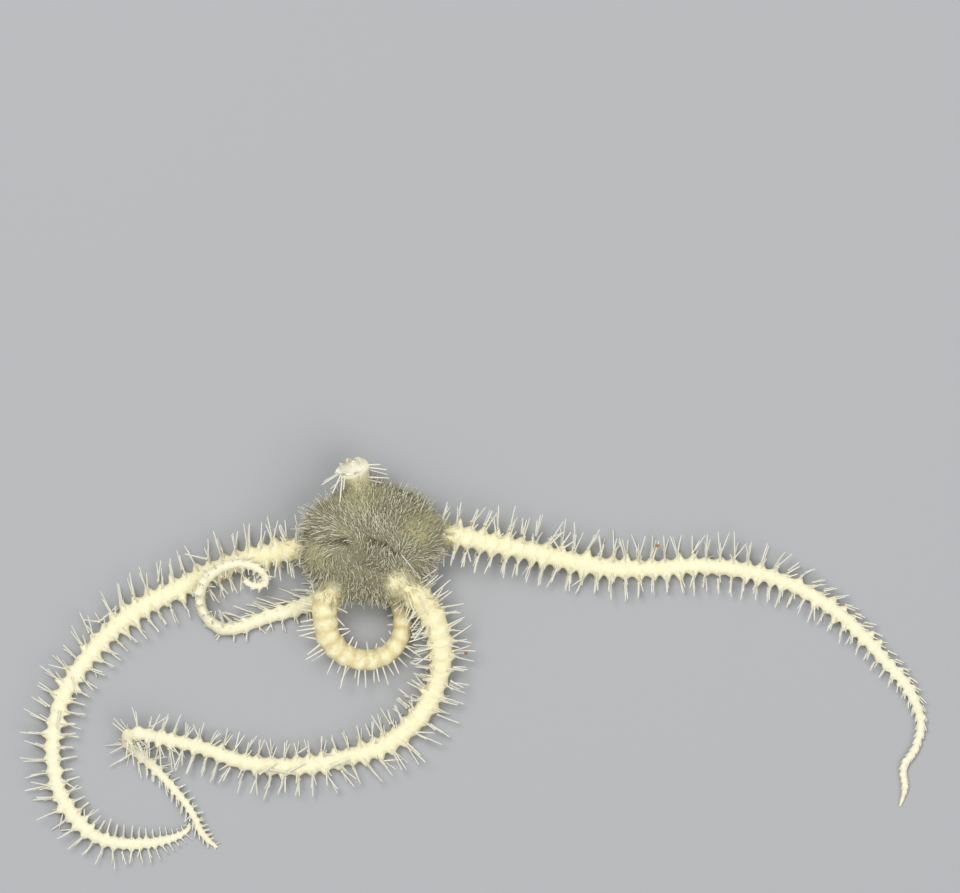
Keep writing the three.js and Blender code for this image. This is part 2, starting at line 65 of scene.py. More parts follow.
# The arms' routes, as in the solids but for the wider root of arm b: [x, y, lift, half width], in
# millimetres of the traced frame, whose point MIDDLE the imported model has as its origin. A fifth
# number is the arm's turn about its way, in degrees
MIDDLE = (0.03, 0.48)
ARMS = {
    "a": [
        (-6.72, 10.35, 1.95, 0.72), (-4.46, 10.58, 1.95, 0.83), (-2.21, 10.67, 1.85, 0.83),
        (0.96, 10.0, 1.35, 0.79), (4.29, 9.33, 0.65, 0.79), (7.63, 8.5, 0.15, 0.75),
        (10.96, 7.92, 0, 0.75), (14.29, 7.83, 0, 0.67), (18.46, 8.08, 0.1, 0.63),
        (21.79, 7.75, 0.25, 0.63), (25.13, 6.92, 0.1, 0.58), (28.46, 5.25, 0, 0.58),
        (31.38, 3.0, 0, 0.54), (33.88, 0.25, 0, 0.46), (35.96, -2.25, 0, 0.42),
        (36.96, -4.92, 0, 0.33), (36.54, -7.08, 0, 0.29), (35.54, -8.75, 0, 0.27),
        (35.63, -10.58, 0, 0.24), (35.21, -12.08, 0, 0.08),
    ],
    "b": [
        (-7.52, 8.38, 1.95, 0.72), (-6.4, 7.0, 1.95, 1.05), (-5.45, 6.0, 1.9, 1.15),
        (-3.71, 3.58, 1.6, 0.98), (-3.13, 1.08, 1.0, 0.92), (-3.38, -1.42, 0.45, 0.83),
        (-5.04, -4.58, 0.05, 0.83), (-7.79, -6.83, 0, 0.75), (-11.13, -7.92, 0, 0.67),
        (-15.29, -8.67, 0.1, 0.7), (-19.46, -8.33, 0.1, 0.63), (-23.21, -7.08, 0.35, 0.54),
        (-26.54, -6.25, 1.0, 0.5), (-28.3, -5.9, 1.6, 0.48), (-29.35, -6.25, 0.85, 0.45),
        (-28.75, -7.3, 0.05, 0.44), (-27.38, -8.5, 0, 0.38), (-26.13, -9.83, 0, 0.33),
        (-24.88, -11.25, 0.1, 0.29), (-23.88, -12.67, 0.3, 0.27), (-23.21, -14.08, 0.2, 0.27),
        (-22.54, -14.92, 0, 0.24), (-21.79, -15.5, 0, 0.08),
    ],
    "c": [
        (-11.1, 10.0, 1.95, 0.72), (-13.21, 9.75, 1.95, 0.85), (-15.04, 9.5, 1.6, 0.9),
        (-18.21, 8.92, 0.65, 0.75), (-21.54, 7.92, 0.05, 0.75), (-24.88, 6.25, 0, 0.79),
        (-28.21, 4.58, 0, 0.79), (-31.13, 2.25, 0, 0.71), (-33.38, -0.58, 0, 0.67),
        (-34.79, -3.08, 0.2, 0.63), (-35.54, -6.42, 0.25, 0.58), (-35.21, -10.17, 0, 0.58),
        (-33.96, -12.67, 0, 0.58), (-31.88, -14.58, 0, 0.5), (-29.04, -15.17, 0, 0.46),
        (-26.13, -14.83, 0, 0.33), (-24.9, -14.4, 0, 0.25), (-24.25, -13.9, 0, 0.19),
        (-24.15, -13.4, 0, 0.08),
    ],
    "d": [
        (-10.1, 8.25, 1.95, 0.72, 0), (-11.4, 7.2, 1.95, 0.9, 0), (-12.71, 5.25, 1.95, 1.05, 0),
        (-12.79, 3.58, 1.85, 1.0, 8), (-12.38, 1.92, 1.6, 0.94, 20), (-10.88, 0.58, 1.2, 0.88, 36),
        (-9.21, 0.25, 0.85, 0.84, 48), (-7.63, 0.75, 0.6, 0.82, 62), (-6.54, 2.08, 0.4, 0.82, 82),
        (-6.36, 3.58, 0.25, 0.82, 104), (-6.75, 5.25, 0.1, 0.76, 134), (-7.79, 6.75, 0, 0.7, 160),
        (-9.46, 7.33, 0, 0.67, 178), (-11.54, 6.33, 0, 0.67, 180), (-13.63, 5.17, 0, 0.63, 180),
        (-15.71, 4.33, 0, 0.58, 180), (-17.79, 3.75, 0, 0.54, 185), (-19.88, 3.0, 0.05, 0.54, 200),
        (-21.38, 2.83, 0.2, 0.54, 225), (-22.63, 3.67, 0.55, 0.5, 255),
        (-23.21, 5.08, 1.15, 0.46, 280), (-22.96, 6.58, 1.75, 0.46, 305),
        (-21.88, 7.67, 2.05, 0.42, 325), (-20.46, 8.25, 2.3, 0.38, 335),
        (-19.04, 8.17, 2.35, 0.33, 340), (-18.04, 7.58, 2.15, 0.29, 340),
        (-17.71, 6.83, 1.85, 0.27, 340), (-18.38, 6.42, 1.65, 0.27, 340),
        (-19.21, 6.67, 1.55, 0.24, 340), (-19.54, 7.17, 1.5, 0.1, 340),
    ],
    "e": [
        (-9.3, 12.25, 1.95, 0.75), (-9.65, 13.7, 1.95, 0.95), (-9.9, 14.7, 2.05, 0.98),
        (-10.2, 15.7, 2.4, 1.1), (-10.5, 16.5, 2.9, 1.16),
    ],
}
# An arm's height as a share of its width
HEIGHT_SHARE = 0.9
# How far an arm's back is drawn towards straight up at each sample of its route
LEVELLING = 0.12
# Samples of a route from one station to the next
SPAN_STEPS = 20
# The half width of an arm at which its combs, plates and spines have their full size
FULL_WIDTH = 0.75 * MM
# The angles from an arm's back, in degrees, between which its combs rise, and fall away again
COMB_RISE, COMB_FALL = (38, 78), (108, 148)
# Half the widths of an arm's back plates and mouth plates, in degrees
BACK_PLATE, MOUTH_PLATE = 54, 40
# The shares of an arm between which its plates and combs fade away at its tip
TIP_FADE = (0.985, 1.0)
# What is left of an arm and shorter than this belongs to its last segment
LEFT_OVER = 0.75 * MM
# How far from the disc's heart an arm's skin can carry the disc's coat
COAT_REACH = 8 * MM
# The shares of the way out to the disc's rim between which the coat ends on an arm
COAT_FADE = (0.96, 1.16)
# The distances from the disc's heart between which the stronger colours of an arm's root fade
ROOT_FADE = (5.2 * MM, 9.5 * MM)
# The distances from the broken end between which its chalk fades, and the arm's coat comes in
CHALK_FADE, CRUST_START = (0.05 * MM, 0.7 * MM), (0.3 * MM, 1.2 * MM)
# The shares of arm d between which its brown stretch starts, and ends: painted shade on its loop,
# stronger on the arm's left side
LOOP_SHADE_START, LOOP_SHADE_END = (0.24, 0.34), (0.42, 0.55)
# The heights between which an arm's skin passes from the bare mouth side to the disc's coat, in mm
COAT_HEIGHTS = (2.3, 3.1)
# How often the marks of known points are spread to the new points beside them, after a union
SEAM_ROUNDS = 3
# The share of arm d whose spines spread level on both sides, though the arm is turned about its way
LOOP_SHARE = 0.44
# The steepest rows of spines that are set there, in degrees, on the inner and on the outer side
LOOP_RISES = {-1: 10, 1: 20}
# A segment's length along an arm, in millimetres, which gets shorter towards the tip
PITCH = [(0, 1.05), (0.2, 1.14), (0.5, 1.12), (0.74, 1.0), (0.88, 0.7), (0.96, 0.5), (1, 0.42)]
# Where along a segment its comb of spines stands
COMB_PLACE = 0.55
# Rings of an arm spine, one on each swelling and one on each waist of its beads
SPINE_RINGS = 19

# The disc, in millimetres of the traced frame: its middle, its heights and its rim's distances
DISC = {"x": -8.79, "y": 10.17, "underside": 2.0, "heart": 3.0, "rim": 3.1, "top": 5.4}
DISC_RIM = [
    (5, 5.95), (35, 5.4), (65, 4.75), (100, 4.85), (130, 4.95), (160, 5.75),
    (195, 5.95), (225, 5.75), (265, 4.9), (298, 5.15), (330, 4.9),
]
# The folds of the disc's back: [points], depth and half width, in millimetres
FOLDS = [
    ([(-14.6, 10.8), (-12.9, 10.0), (-11.0, 10.2)], 0.34, 0.26),
    ([(-11.1, 10.2), (-10.85, 10.1)], 0.65, 0.17),
    ([(-8.9, 10.2), (-7.75, 9.8), (-6.9, 9.0)], 0.42, 0.26),
    ([(-10.9, 9.9), (-10.15, 8.9), (-9.8, 8.0)], 0.22, 0.6),
    ([(-8.2, 14.4), (-8.6, 12.4)], 0.1, 0.4),
    ([(-12.4, 13.2), (-11.2, 12.2)], 0.12, 0.4),
]
# How the disc's spinelets lie: a place, the direction that their tips point in, in degrees, and
# how far they lean, as a share
LIE = [
    (-13.6, 13.4, 122, 1), (-11.8, 13.6, 112, 0.8), (-10.6, 12.3, 128, 0.8), (-9.3, 12.4, 112, 0.7),
    (-8.4, 12.6, 90, 0.5), (-8.8, 14.3, 92, 0.5), (-7.4, 14.0, 70, 0.5), (-5.6, 13.4, 62, 0.5),
    (-4.0, 12.0, 58, 0.7), (-7.4, 11.2, 125, 0.8), (-6.2, 11.6, 62, 0.4), (-4.2, 10.8, 55, 0.6),
    (-5.2, 9.9, 50, 0.8), (-3.3, 9.6, 15, 1), (-3.6, 8.4, -35, 1), (-5.0, 7.6, -60, 0.9),
    (-13.6, 11.0, 183, 1), (-12.4, 10.0, 190, 1), (-13.3, 8.6, -48, 1), (-11.4, 8.4, -52, 0.9),
    (-10.2, 7.6, -70, 0.7), (-14.6, 8.8, 200, 1), (-14.2, 6.8, 225, 0.9), (-8.9, 8.7, 70, 0.8),
    (-7.4, 8.2, 110, 0.8), (-9.6, 5.4, 268, 0.25), (-8.0, 5.2, 275, 0.25), (-12.0, 5.6, 250, 0.4),
    (-10.8, 7.0, 265, 0.3), (-8.6, 7.0, 280, 0.2),
]
# Where the bright root of an arm shows through the disc's coat: [points] and a half width
BARE = [
    ([(-6.5, 6.6), (-4.4, 4.4)], 1.3), ([(-12.2, 5.9), (-12.9, 3.8)], 1.0),
    ([(-9.95, 15.3), (-10.3, 16.5)], 1.1), ([(-2.6, 10.55), (-1.5, 10.6)], 0.5),
    ([(-15.0, 9.5), (-16.0, 9.3)], 0.5),
]
# Where the disc's skin is yellower: a place and a half width
OLIVE = [(-10.0, 13.9, 1.7), (-13.4, 9.0, 0.9), (-4.9, 11.0, 1.3), (-3.8, 12.0, 0.8)]
# The shares of the places for spinelets at which the back's and the rim's end, and the outer part
# of the belly that has some
BACK_END, RIM_END, BELLY_PART = 0.74, 0.86, 0.62
# The golden angle, which spreads the spinelets evenly
GOLDEN = math.radians(137.508)
# How near the middle of a rib of the belly, as a share, no spinelet stands
RIB_BARE = 0.4
# The ridge where most of the spinelets are pale and stout; their pale is partly painted highlight
PALE = [(-10.6, 12.6), (-9.3, 12.3), (-7.6, 10.9), (-6.0, 8.9)]

# The rows of a comb, from the back to the mouth side: [rise above the side in degrees, share of
# the length of the longest], up to a share of the arm
COMBS = [
    (0.45, [(50, 0.7), (34, 1.0), (18, 1.0), (2, 0.92), (-15, 0.72), (-32, 0.45)]),
    (0.72, [(44, 0.75), (26, 1.0), (8, 0.95), (-12, 0.7), (-32, 0.42)]),
    (0.9, [(36, 0.85), (14, 1.0), (-10, 0.75), (-32, 0.4)]),
    (1.01, [(30, 0.85), (6, 1.0), (-20, 0.6)]),
]
# The size of an arm's combs as a share, and how far their spines' feet are spread along the arm, in
# segments: [share of the arm, size, spread]
COMB_FORMS = {
    "a": [(0, 0.6, 0.14), (0.05, 0.9, 0.08), (0.12, 1.0, 0.05), (0.78, 1.0, 0.04),
          (0.88, 0.45, 0.04), (1, 0.25, 0.03)],
    "b": [(0, 0.2, 0.4), (0.14, 0.3, 0.4), (0.22, 0.5, 0.28), (0.32, 0.8, 0.08),
          (0.65, 0.85, 0.1), (0.9, 0.8, 0.05), (1, 0.3, 0.03)],
    "c": [(0, 0.3, 0.14), (0.06, 0.45, 0.1), (0.17, 0.85, 0.06), (0.3, 1.0, 0.05),
          (0.92, 0.9, 0.04), (1, 0.3, 0.03)],
    "d": [(0, 0.12, 0.5), (0.38, 0.16, 0.5), (0.48, 0.5, 0.08), (1, 0.5, 0.05)],
    "e": [(0, 0.2, 0.1), (1, 0.3, 0.1)],
}
# The spines by arm and by hand, 1 on the right of the arm's way seen from its back. A row is
# [share of the arm, length in millimetres, lean towards the tip, scatter of whole combs and
# scatter within a comb, in degrees]
SPINES = {
    ("a", 1): [
        (0, 1.3, -8, 6, 7), (0.25, 1.4, -4, 6, 6), (0.42, 1.45, 0, 12, 14), (0.55, 1.3, 8, 14, 15),
        (0.65, 1.1, 10, 12, 14), (0.75, 0.9, 18, 9, 10), (0.8, 0.62, 36, 6, 8),
        (0.84, 0.42, 60, 5, 6), (0.9, 0.28, 74, 4, 4), (1, 0.16, 76, 4, 4),
    ],
    ("a", -1): [
        (0, 1.6, 4, 14, 16), (0.2, 1.9, 4, 18, 20), (0.5, 1.9, 5, 20, 22),
        (0.58, 1.4, 30, 16, 16), (0.66, 1.0, 62, 9, 10), (0.82, 0.72, 64, 6, 7),
        (0.88, 0.36, 74, 4, 4), (1, 0.18, 76, 4, 4),
    ],
    ("b", 1): [
        (0, 1.3, 5, 16, 22), (0.2, 1.5, 0, 12, 16), (0.35, 1.45, -5, 14, 16),
        (0.6, 1.4, -5, 16, 20), (0.7, 1.6, 5, 20, 16), (0.79, 1.9, 15, 18, 16),
        (0.83, 0.8, 50, 9, 9), (0.97, 0.6, 56, 6, 6), (1, 0.2, 60, 4, 4),
    ],
    ("b", -1): [
        (0, 1.6, 5, 10, 16), (0.13, 1.85, 2, 8, 16), (0.22, 1.85, -8, 12, 14),
        (0.3, 1.8, -14, 14, 12), (0.45, 1.9, -14, 15, 13), (0.52, 1.8, 6, 17, 15),
        (0.66, 1.7, 6, 20, 16), (0.77, 1.9, 0, 24, 18), (0.82, 1.2, 20, 16, 12),
        (0.86, 0.58, 15, 7, 7), (1, 0.42, 20, 6, 6),
    ],
    ("c", 1): [
        (0, 1.5, 5, 14, 12), (0.15, 1.75, -8, 12, 12), (0.5, 1.8, -12, 12, 12),
        (0.75, 1.65, -8, 13, 12), (0.85, 1.35, 5, 12, 12), (0.93, 0.9, 15, 9, 10),
        (1, 0.4, 25, 8, 8),
    ],
    ("c", -1): [
        (0, 1.3, 3, 10, 9), (0.15, 1.2, -3, 7, 10), (0.6, 1.15, -3, 7, 10), (0.8, 1.05, 0, 6, 6),
        (0.87, 0.9, 0, 5, 4), (0.94, 0.55, 4, 4, 4), (1, 0.32, 10, 5, 4),
    ],
    ("d", 1): [
        (0, 1.4, 5, 12, 12), (0.1, 1.75, 5, 8, 10), (0.3, 1.65, 0, 10, 12), (0.45, 1.1, 5, 10, 10),
        (0.52, 0.8, 5, 8, 18), (0.72, 0.75, 8, 8, 16), (0.8, 0.8, 5, 8, 10), (0.87, 0.6, 10, 6, 8),
        (0.93, 0.35, 15, 6, 6), (1, 0.2, 20, 5, 5),
    ],
    ("d", -1): [
        (0, 1.2, 8, 10, 8), (0.1, 1.35, 12, 6, 6), (0.15, 1.2, -5, 8, 8), (0.18, 0.75, 0, 8, 14),
        (0.26, 0.6, 0, 8, 16), (0.31, 0.35, 0, 8, 12), (0.42, 0.35, 0, 8, 8), (0.48, 1.6, 40, 8, 8),
        (0.55, 2.0, 55, 6, 6), (0.68, 1.8, 50, 8, 8), (0.75, 0.8, 20, 12, 14),
        (0.82, 0.5, 20, 8, 8), (0.9, 0.35, 25, 6, 6), (1, 0.25, 30, 5, 5),
    ],
}
# Single spines: on the broken arm, over the disc's rim, and some along the whole arms. A root and
# a tip, each as [x, y, height], in millimetres of the traced frame
SINGLE_SPINES = [
    ((-11.45, 15.85, 3.6), (-13.05, 14.85, 3.9)), ((-11.45, 15.95, 3.3), (-12.9, 15.1, 3.0)),
    ((-11.4, 15.75, 3.9), (-12.15, 14.1, 4.2)), ((-11.3, 15.65, 4.0), (-11.5, 13.35, 4.75)),
    ((-11.1, 15.6, 4.2), (-11.2, 14.45, 4.75)), ((-11.4, 15.3, 3.1), (-12.3, 14.5, 3.6)),
    ((-9.45, 16.5, 3.9), (-8.15, 16.55, 4.3)), ((-9.45, 16.35, 3.6), (-7.6, 16.1, 3.9)),
    ((-9.4, 16.2, 3.3), (-7.55, 15.7, 3.2)), ((-9.3, 15.5, 3.6), (-7.4, 15.42, 3.9)),
    ((-9.3, 15.3, 3.3), (-7.9, 15.0, 3.6)), ((-4.85, 7.1, 3.75), (-6.38, 9.08, 5.45)),
    ((-5.8, 6.6, 4.1), (-6.41, 7.92, 5.15)), ((-18.3, -9.3, 1.45), (-16.75, -8.3, 1.6)),
    ((-17.4, -8.9, 1.5), (-15.3, -9.3, 1.5)), ((-15.9, -9.15, 1.45), (-14.4, -8.3, 1.55)),
    ((-12.2, -8.6, 1.4), (-10.7, -7.95, 1.5)), ((-33.9, -1.2, 1.3), (-33.5, -2.7, 1.4)),
    ((-34.9, -4.0, 1.45), (-35.2, -5.5, 1.5)), ((-20.0, 8.1, 1.8), (-18.7, 8.95, 2.3)),
    ((-4.9, 5.6, 3.95), (-4.25, 4.1, 3.75)), ((-5.9, 5.6, 3.8), (-5.3, 4.2, 3.7)),
    ((-34.4, -11.3, 0.5), (-35.05, -13.9, 0.2)), ((-33.2, -13.9, 0.4), (-34.95, -14.05, 0.2)),
]
# Grains of sand that cling to spines, in millimetres of the traced frame: a place and a size
GRAINS = [
    (-16.9, 10.5, 0.24), (-21.35, 6.75, 0.3), (-33.0, 1.3, 0.26), (-1.0, 0.7, 0.3),
    (15.1, 9.7, 0.34), (1.8, 8.3, 0.24),
]
# The mouth, in millimetres of the traced frame: its middle, and how far its slit and its jaws reach
MOUTH = {"x": -8.9, "y": 10.1, "slit": 0.25, "jaws": 1.75, "hollow": 1.0}
# A jaw, and the shield behind it, in millimetres: heights, half sizes and the depth of its seam
JAW = {"height": 2.34, "thick": 0.4, "seam": 0.1}
SHIELD = {"reach": 2.0, "long": 0.42, "wide": 0.5, "height": 2.12, "thick": 0.17}
# The teeth at a jaw's point, one over the other
TEETH = 3
# The stretch of a spine, as shares of its length, that a grain can cling to
GRAIN_HOLD = (0.15, 0.95)
# The photograph's middle pixel, in millimetres of the traced frame
PHOTO_MIDDLE = (0.125, 18.04)
# The height over the floor at which the camera's field has its full width
FIELD_HEIGHT = 2 * MM
# The soft lights: a place and a size, in metres
LIGHTS = {"key": ((-0.16, 0.2, 0.5), 0.24), "fill": ((0.26, -0.2, 0.42), 0.45)}
# The inputs and the output of a Mix node that hold colours
MIX_ONE, MIX_OTHER, MIXED = 6, 7, 2


def away(x, y, z=0.0):
    """A place of the traced frame, in millimetres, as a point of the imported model."""
    return Vector(((x - MIDDLE[0]) * MM, (y - MIDDLE[1]) * MM, z * MM))


def along(table, x, column=1):
    """The value at x of a table whose rows start with a place."""
    i = 1
    while i < len(table) - 1 and x > table[i][0]:
        i += 1
    x0, x1 = table[i - 1][0], table[i][0]
    y0, y1 = table[i - 1][column], table[i][column]
    return y0 + (y1 - y0) * min(max((x - x0) / (x1 - x0), 0.0), 1.0)


def ease(low, high, x):
    """0 below low, 1 above high and a smooth step between them."""
    t = min(max((x - low) / (high - low), 0.0), 1.0)
    return t * t * (3 - 2 * t)


def draw_for(seed, *numbers):
    """A repeatable draw between 0 and 1 for a thing that some numbers name."""
    place = Vector([float(n) * 12.9898 + seed * 0.731 for n in (*numbers, 0, 0, 0)[:3]])
    return noise.cell(place * 7.31)


class Route:
    """The line of an arm: its middle, way, back and half width at any distance along it."""

    def __init__(self, stations):
        stations = [(*station, 0)[:5] for station in stations]
        middles = [away(x, y, lift + width * HEIGHT_SHARE) for x, y, lift, width, _ in stations]
        self.places, self.samples = [], []
        back = UP.copy()
        for i in range((len(stations) - 1) * SPAN_STEPS + 1):
            k = min(i // SPAN_STEPS, len(stations) - 2)
            part = i / SPAN_STEPS - k
            middle, way = self.on_curve(middles, k, part)
            back = (back - way * back.dot(way)).normalized()
            level = UP - way * way.z
            if back.dot(level) < 0:
                level.negate()
            back = (back + level * LEVELLING).normalized()
            before = self.samples[-1] if self.samples else None
            s = before[0] + (middle - before[1]).length if before else 0.0
            width, twist = (
                stations[k][n] + (stations[k + 1][n] - stations[k][n]) * part for n in (3, 4))
            self.places.append(s)
            self.samples.append((s, middle, way, back, width * MM, math.radians(twist)))
        self.length = self.places[-1]

    @staticmethod
    def on_curve(points, k, part):
        """The place and way of a centripetal Catmull-Rom curve at a part of span k."""
        p1, p2 = points[k], points[k + 1]
        p0 = points[k - 1] if k > 0 else p1 * 2 - p2
        p3 = points[k + 2] if k + 2 < len(points) else p2 * 2 - p1
        d0, d1, d2 = (math.sqrt((q - p).length) for p, q in ((p0, p1), (p1, p2), (p2, p3)))
        t1 = ((p1 - p0) / d0 - (p2 - p0) / (d0 + d1) + (p2 - p1) / d1) * d1
        t2 = ((p2 - p1) / d1 - (p3 - p1) / (d1 + d2) + (p3 - p2) / d2) * d1
        c2 = p2 * 3 - p1 * 3 - t1 * 2 - t2
        c3 = p1 * 2 - p2 * 2 + t1 + t2
        place = p1 + t1 * part + c2 * part ** 2 + c3 * part ** 3
        way = t1 + c2 * (2 * part) + c3 * (3 * part ** 2)
        return place, way.normalized()

    def at(self, s):
        """The middle, way, back, right side and half width at a distance along the arm."""
        i = min(max(bisect_right(self.places, s), 1), len(self.places) - 1)
        s0, middle0, way0, back0, width0, twist0 = self.samples[i - 1]
        s1, middle1, way1, back1, width1, twist1 = self.samples[i]
        part = (s - s0) / (s1 - s0)
        way = way0.lerp(way1, part).normalized()
        back = back0.lerp(back1, part).normalized()
        back.rotate(Quaternion(way, -(twist0 + (twist1 - twist0) * part)))
        width = width0 + (width1 - width0) * part
        return middle0.lerp(middle1, part), way, back, way.cross(back), width

    def segments(self):
        """Where each segment starts and ends."""
        starts = [0.0]
        while starts[-1] < self.length - LEFT_OVER:
            starts.append(starts[-1] + along(PITCH, starts[-1] / self.length) * MM)
        starts[-1] = self.length
        return list(zip(starts, starts[1:]))


ROUTES = {arm: Route(stations) for arm, stations in ARMS.items()}


# The form of an arm


def outline(angle, width):
    """The distance of an arm's plain surface from its middle, at an angle from its back."""
    bulge = 2.2
    across, rise = abs(math.sin(angle)), abs(math.cos(angle)) / HEIGHT_SHARE
    return width / (across ** bulge + rise ** bulge) ** (1 / bulge)


def comb_stand(part, angle, width, comb, skin):
    """How far the comb of side plates stands out, part of the way along a segment."""
    wave = (1 + math.cos(2 * math.pi * (part - COMB_PLACE))) / 2
    turn = abs(math.degrees(angle))
    belt = ease(*COMB_RISE, turn) * (1 - ease(*COMB_FALL, turn))
    size = comb * min(width / FULL_WIDTH, 1.1)
    return size * wave ** skin.comb_sharpness * belt


def back_plate(part, angle, width, skin):
    """The stand of the overlapping back plates, and the dark of the lines between them."""
    across = abs(math.degrees(angle)) / BACK_PLATE
    if across > 1.3:
        return 0.0, 0.0
    edge = 0.56 + 0.26 * (1 - across ** 2)
    behind = (part - edge) % 1.0
    step = skin.plate_step * width / FULL_WIDTH
    fade = 1 - ease(0.85, 1.3, across)
    stand = step * (0.2 + 0.8 * behind ** 1.4) * fade * (1 - ease(0.94, 1.0, behind) * 0.7)
    side_line = math.exp(-((across - 0.52 - 0.42 * behind) / 0.1) ** 2) * ease(0.1, 0.5, behind)
    end_line = math.exp(-(min(behind, 1 - behind) / 0.06) ** 2) * fade
    stand -= step * 0.6 * side_line
    return stand, max(end_line, side_line * 0.8)


def mouth_plate(part, angle, width, skin):
    """The stand, lines and pores of an arm's mouth side."""
    across = (180 - abs(math.degrees(angle))) / MOUTH_PLATE
    if across > 1.5:
        return 0.0, 0.0, 0.0
    fade = 1 - ease(1.0, 1.5, across)
    near = min(abs(part - 0.93), 1 - abs(part - 0.93))
    end_line = math.exp(-(near / 0.06) ** 2)
    side_line = math.exp(-((across - 0.9 + 0.25 * math.sin(part * 2 * math.pi)) / 0.12) ** 2)
    pore = math.exp(-((across - 0.95) / 0.2) ** 2 - ((part - 0.78) / 0.1) ** 2)
    stand = -(end_line * 0.5 + side_line * 0.35) * skin.plate_step * fade
    stand -= pore * skin.pore_depth * min(width / FULL_WIDTH, 1.0)
    return stand, max(end_line, side_line) * fade * 0.6, pore


def arm_rings(route, skin):
    """The rings of an arm's skin: [distance, part of the segment, number of the segment]."""
    rings = []
    segments = route.segments()
    for number, (start, end) in enumerate(segments):
        for j in range(skin.rings):
            rings.append((start + (end - start) * j / skin.rings, j / skin.rings, number))
    rings.append((segments[-1][1], 1.0, len(segments) - 1))
    return rings


def arm_skin(arm, route, skin):
    """The closed skin of one arm, as a grid that is rolled round the arm's line."""
    rings = arm_rings(route, skin)
    last = len(rings) - 1
    bm = bmesh.new()
    layers = {name: bm.verts.layers.float.new(name) for name in MARKS}
    grid = bmesh.ops.create_grid(bm, x_segments=skin.around, y_segments=last, size=1.0)
    ends = ([], [])
    seed = ord(arm)
    heart = away(DISC["x"], DISC["y"], DISC["heart"])
    for v in grid["verts"]:
        column = round((v.co.x + 1) / 2 * skin.around)
        row = round((v.co.y + 1) / 2 * last)
        s, part, number = rings[row]
        angle = 2 * math.pi * column / skin.around - math.pi
        middle, _, back, side, width = route.at(s)
        hand = 1 if angle > 0 else -1
        shift = part + 0.12 * (draw_for(seed, number, hand) - 0.5) * math.sin(math.pi * part)
        growth = 0.68 + 0.5 * draw_for(seed, number, hand * 2)
        share = s / route.length
        form = along(COMB_FORMS[arm], share)
        tip_fade = 1.0 if arm == "e" else 1 - ease(*TIP_FADE, share)
        back_stand, back_line = back_plate(part, angle, width, skin)
        mouth_stand, mouth_line, pore = mouth_plate(part, angle, width, skin)
        comb = comb_stand(shift, angle, width, skin.comb * form, skin) * growth
        round_it = Vector((math.sin(angle), math.cos(angle), seed))
        lump = noise.noise(middle / (0.5 * MM) + round_it) * skin.lumps
        stand = (comb + back_stand + mouth_stand + lump * width) * tip_fade
        waist = 1 - (1 - skin.waist) * form * (1 + math.cos(2 * math.pi * part)) / 2
        reach = outline(angle, width) * waist + stand
        v.co = middle + side * (math.sin(angle) * reach) + back * (math.cos(angle) * reach)
        v.co.z = max(v.co.z, 0.0)
        near_disc = (v.co - heart).length
        coat = 0.0
        if near_disc < COAT_REACH:
            place = v.co.to_2d() / MM + Vector(MIDDLE)
            coat = (1 - ease(*COAT_FADE, disc_share(v.co))) * (1 - bare_share(*place))
            coat *= ease(*COAT_HEIGHTS, v.co.z / MM)
        band = ((1 + math.cos(2 * math.pi * (part - 0.1))) / 2) ** 2 * (1 - form)
        v[layers["band"]] = band * 0.4
        if arm == "d":
            # Painted shade on the loop: brown, full on the arm's left side and half on its right
            brown = 0.45 * ease(*LOOP_SHADE_START, share) * (1 if hand < 0 else 0.5)
            v[layers["band"]] = (band + brown) * (1 - ease(*LOOP_SHADE_END, share))
        v[layers["line"]] = max(back_line, mouth_line) * tip_fade
        v[layers["pore"]] = pore * tip_fade
        v[layers["comb"]] = min(comb / skin.comb, 1.0)
        root = 1 - ease(*ROOT_FADE, near_disc)
        v[layers["root"]] = max(root, 0.9 * (1 - ease(0.4, 0.5, share))) if arm == "d" else root
        v[layers["share"]] = share
        v[layers["coat"]] = coat
        if arm == "e":
            v[layers["chalk"]] = 0.5 * (1 - ease(*CHALK_FADE, route.length - s))
            v[layers["coat"]] = max(coat, 0.42 * ease(*CRUST_START, route.length - s))
            v[layers["olive"]] = 1.0
            v[layers["root"]] = 0.3
        if row in (0, last):
            ends[row == last].append(v)
    bmesh.ops.remove_doubles(bm, verts=bm.verts, dist=1e-7)
    for s, ring in zip((0, route.length), ends):
        kept = [v for v in ring if v.is_valid]
        bmesh.ops.pointmerge(bm, verts=kept, merge_co=route.at(s)[0])
    bmesh.ops.recalc_face_normals(bm, faces=bm.faces)
    return bm


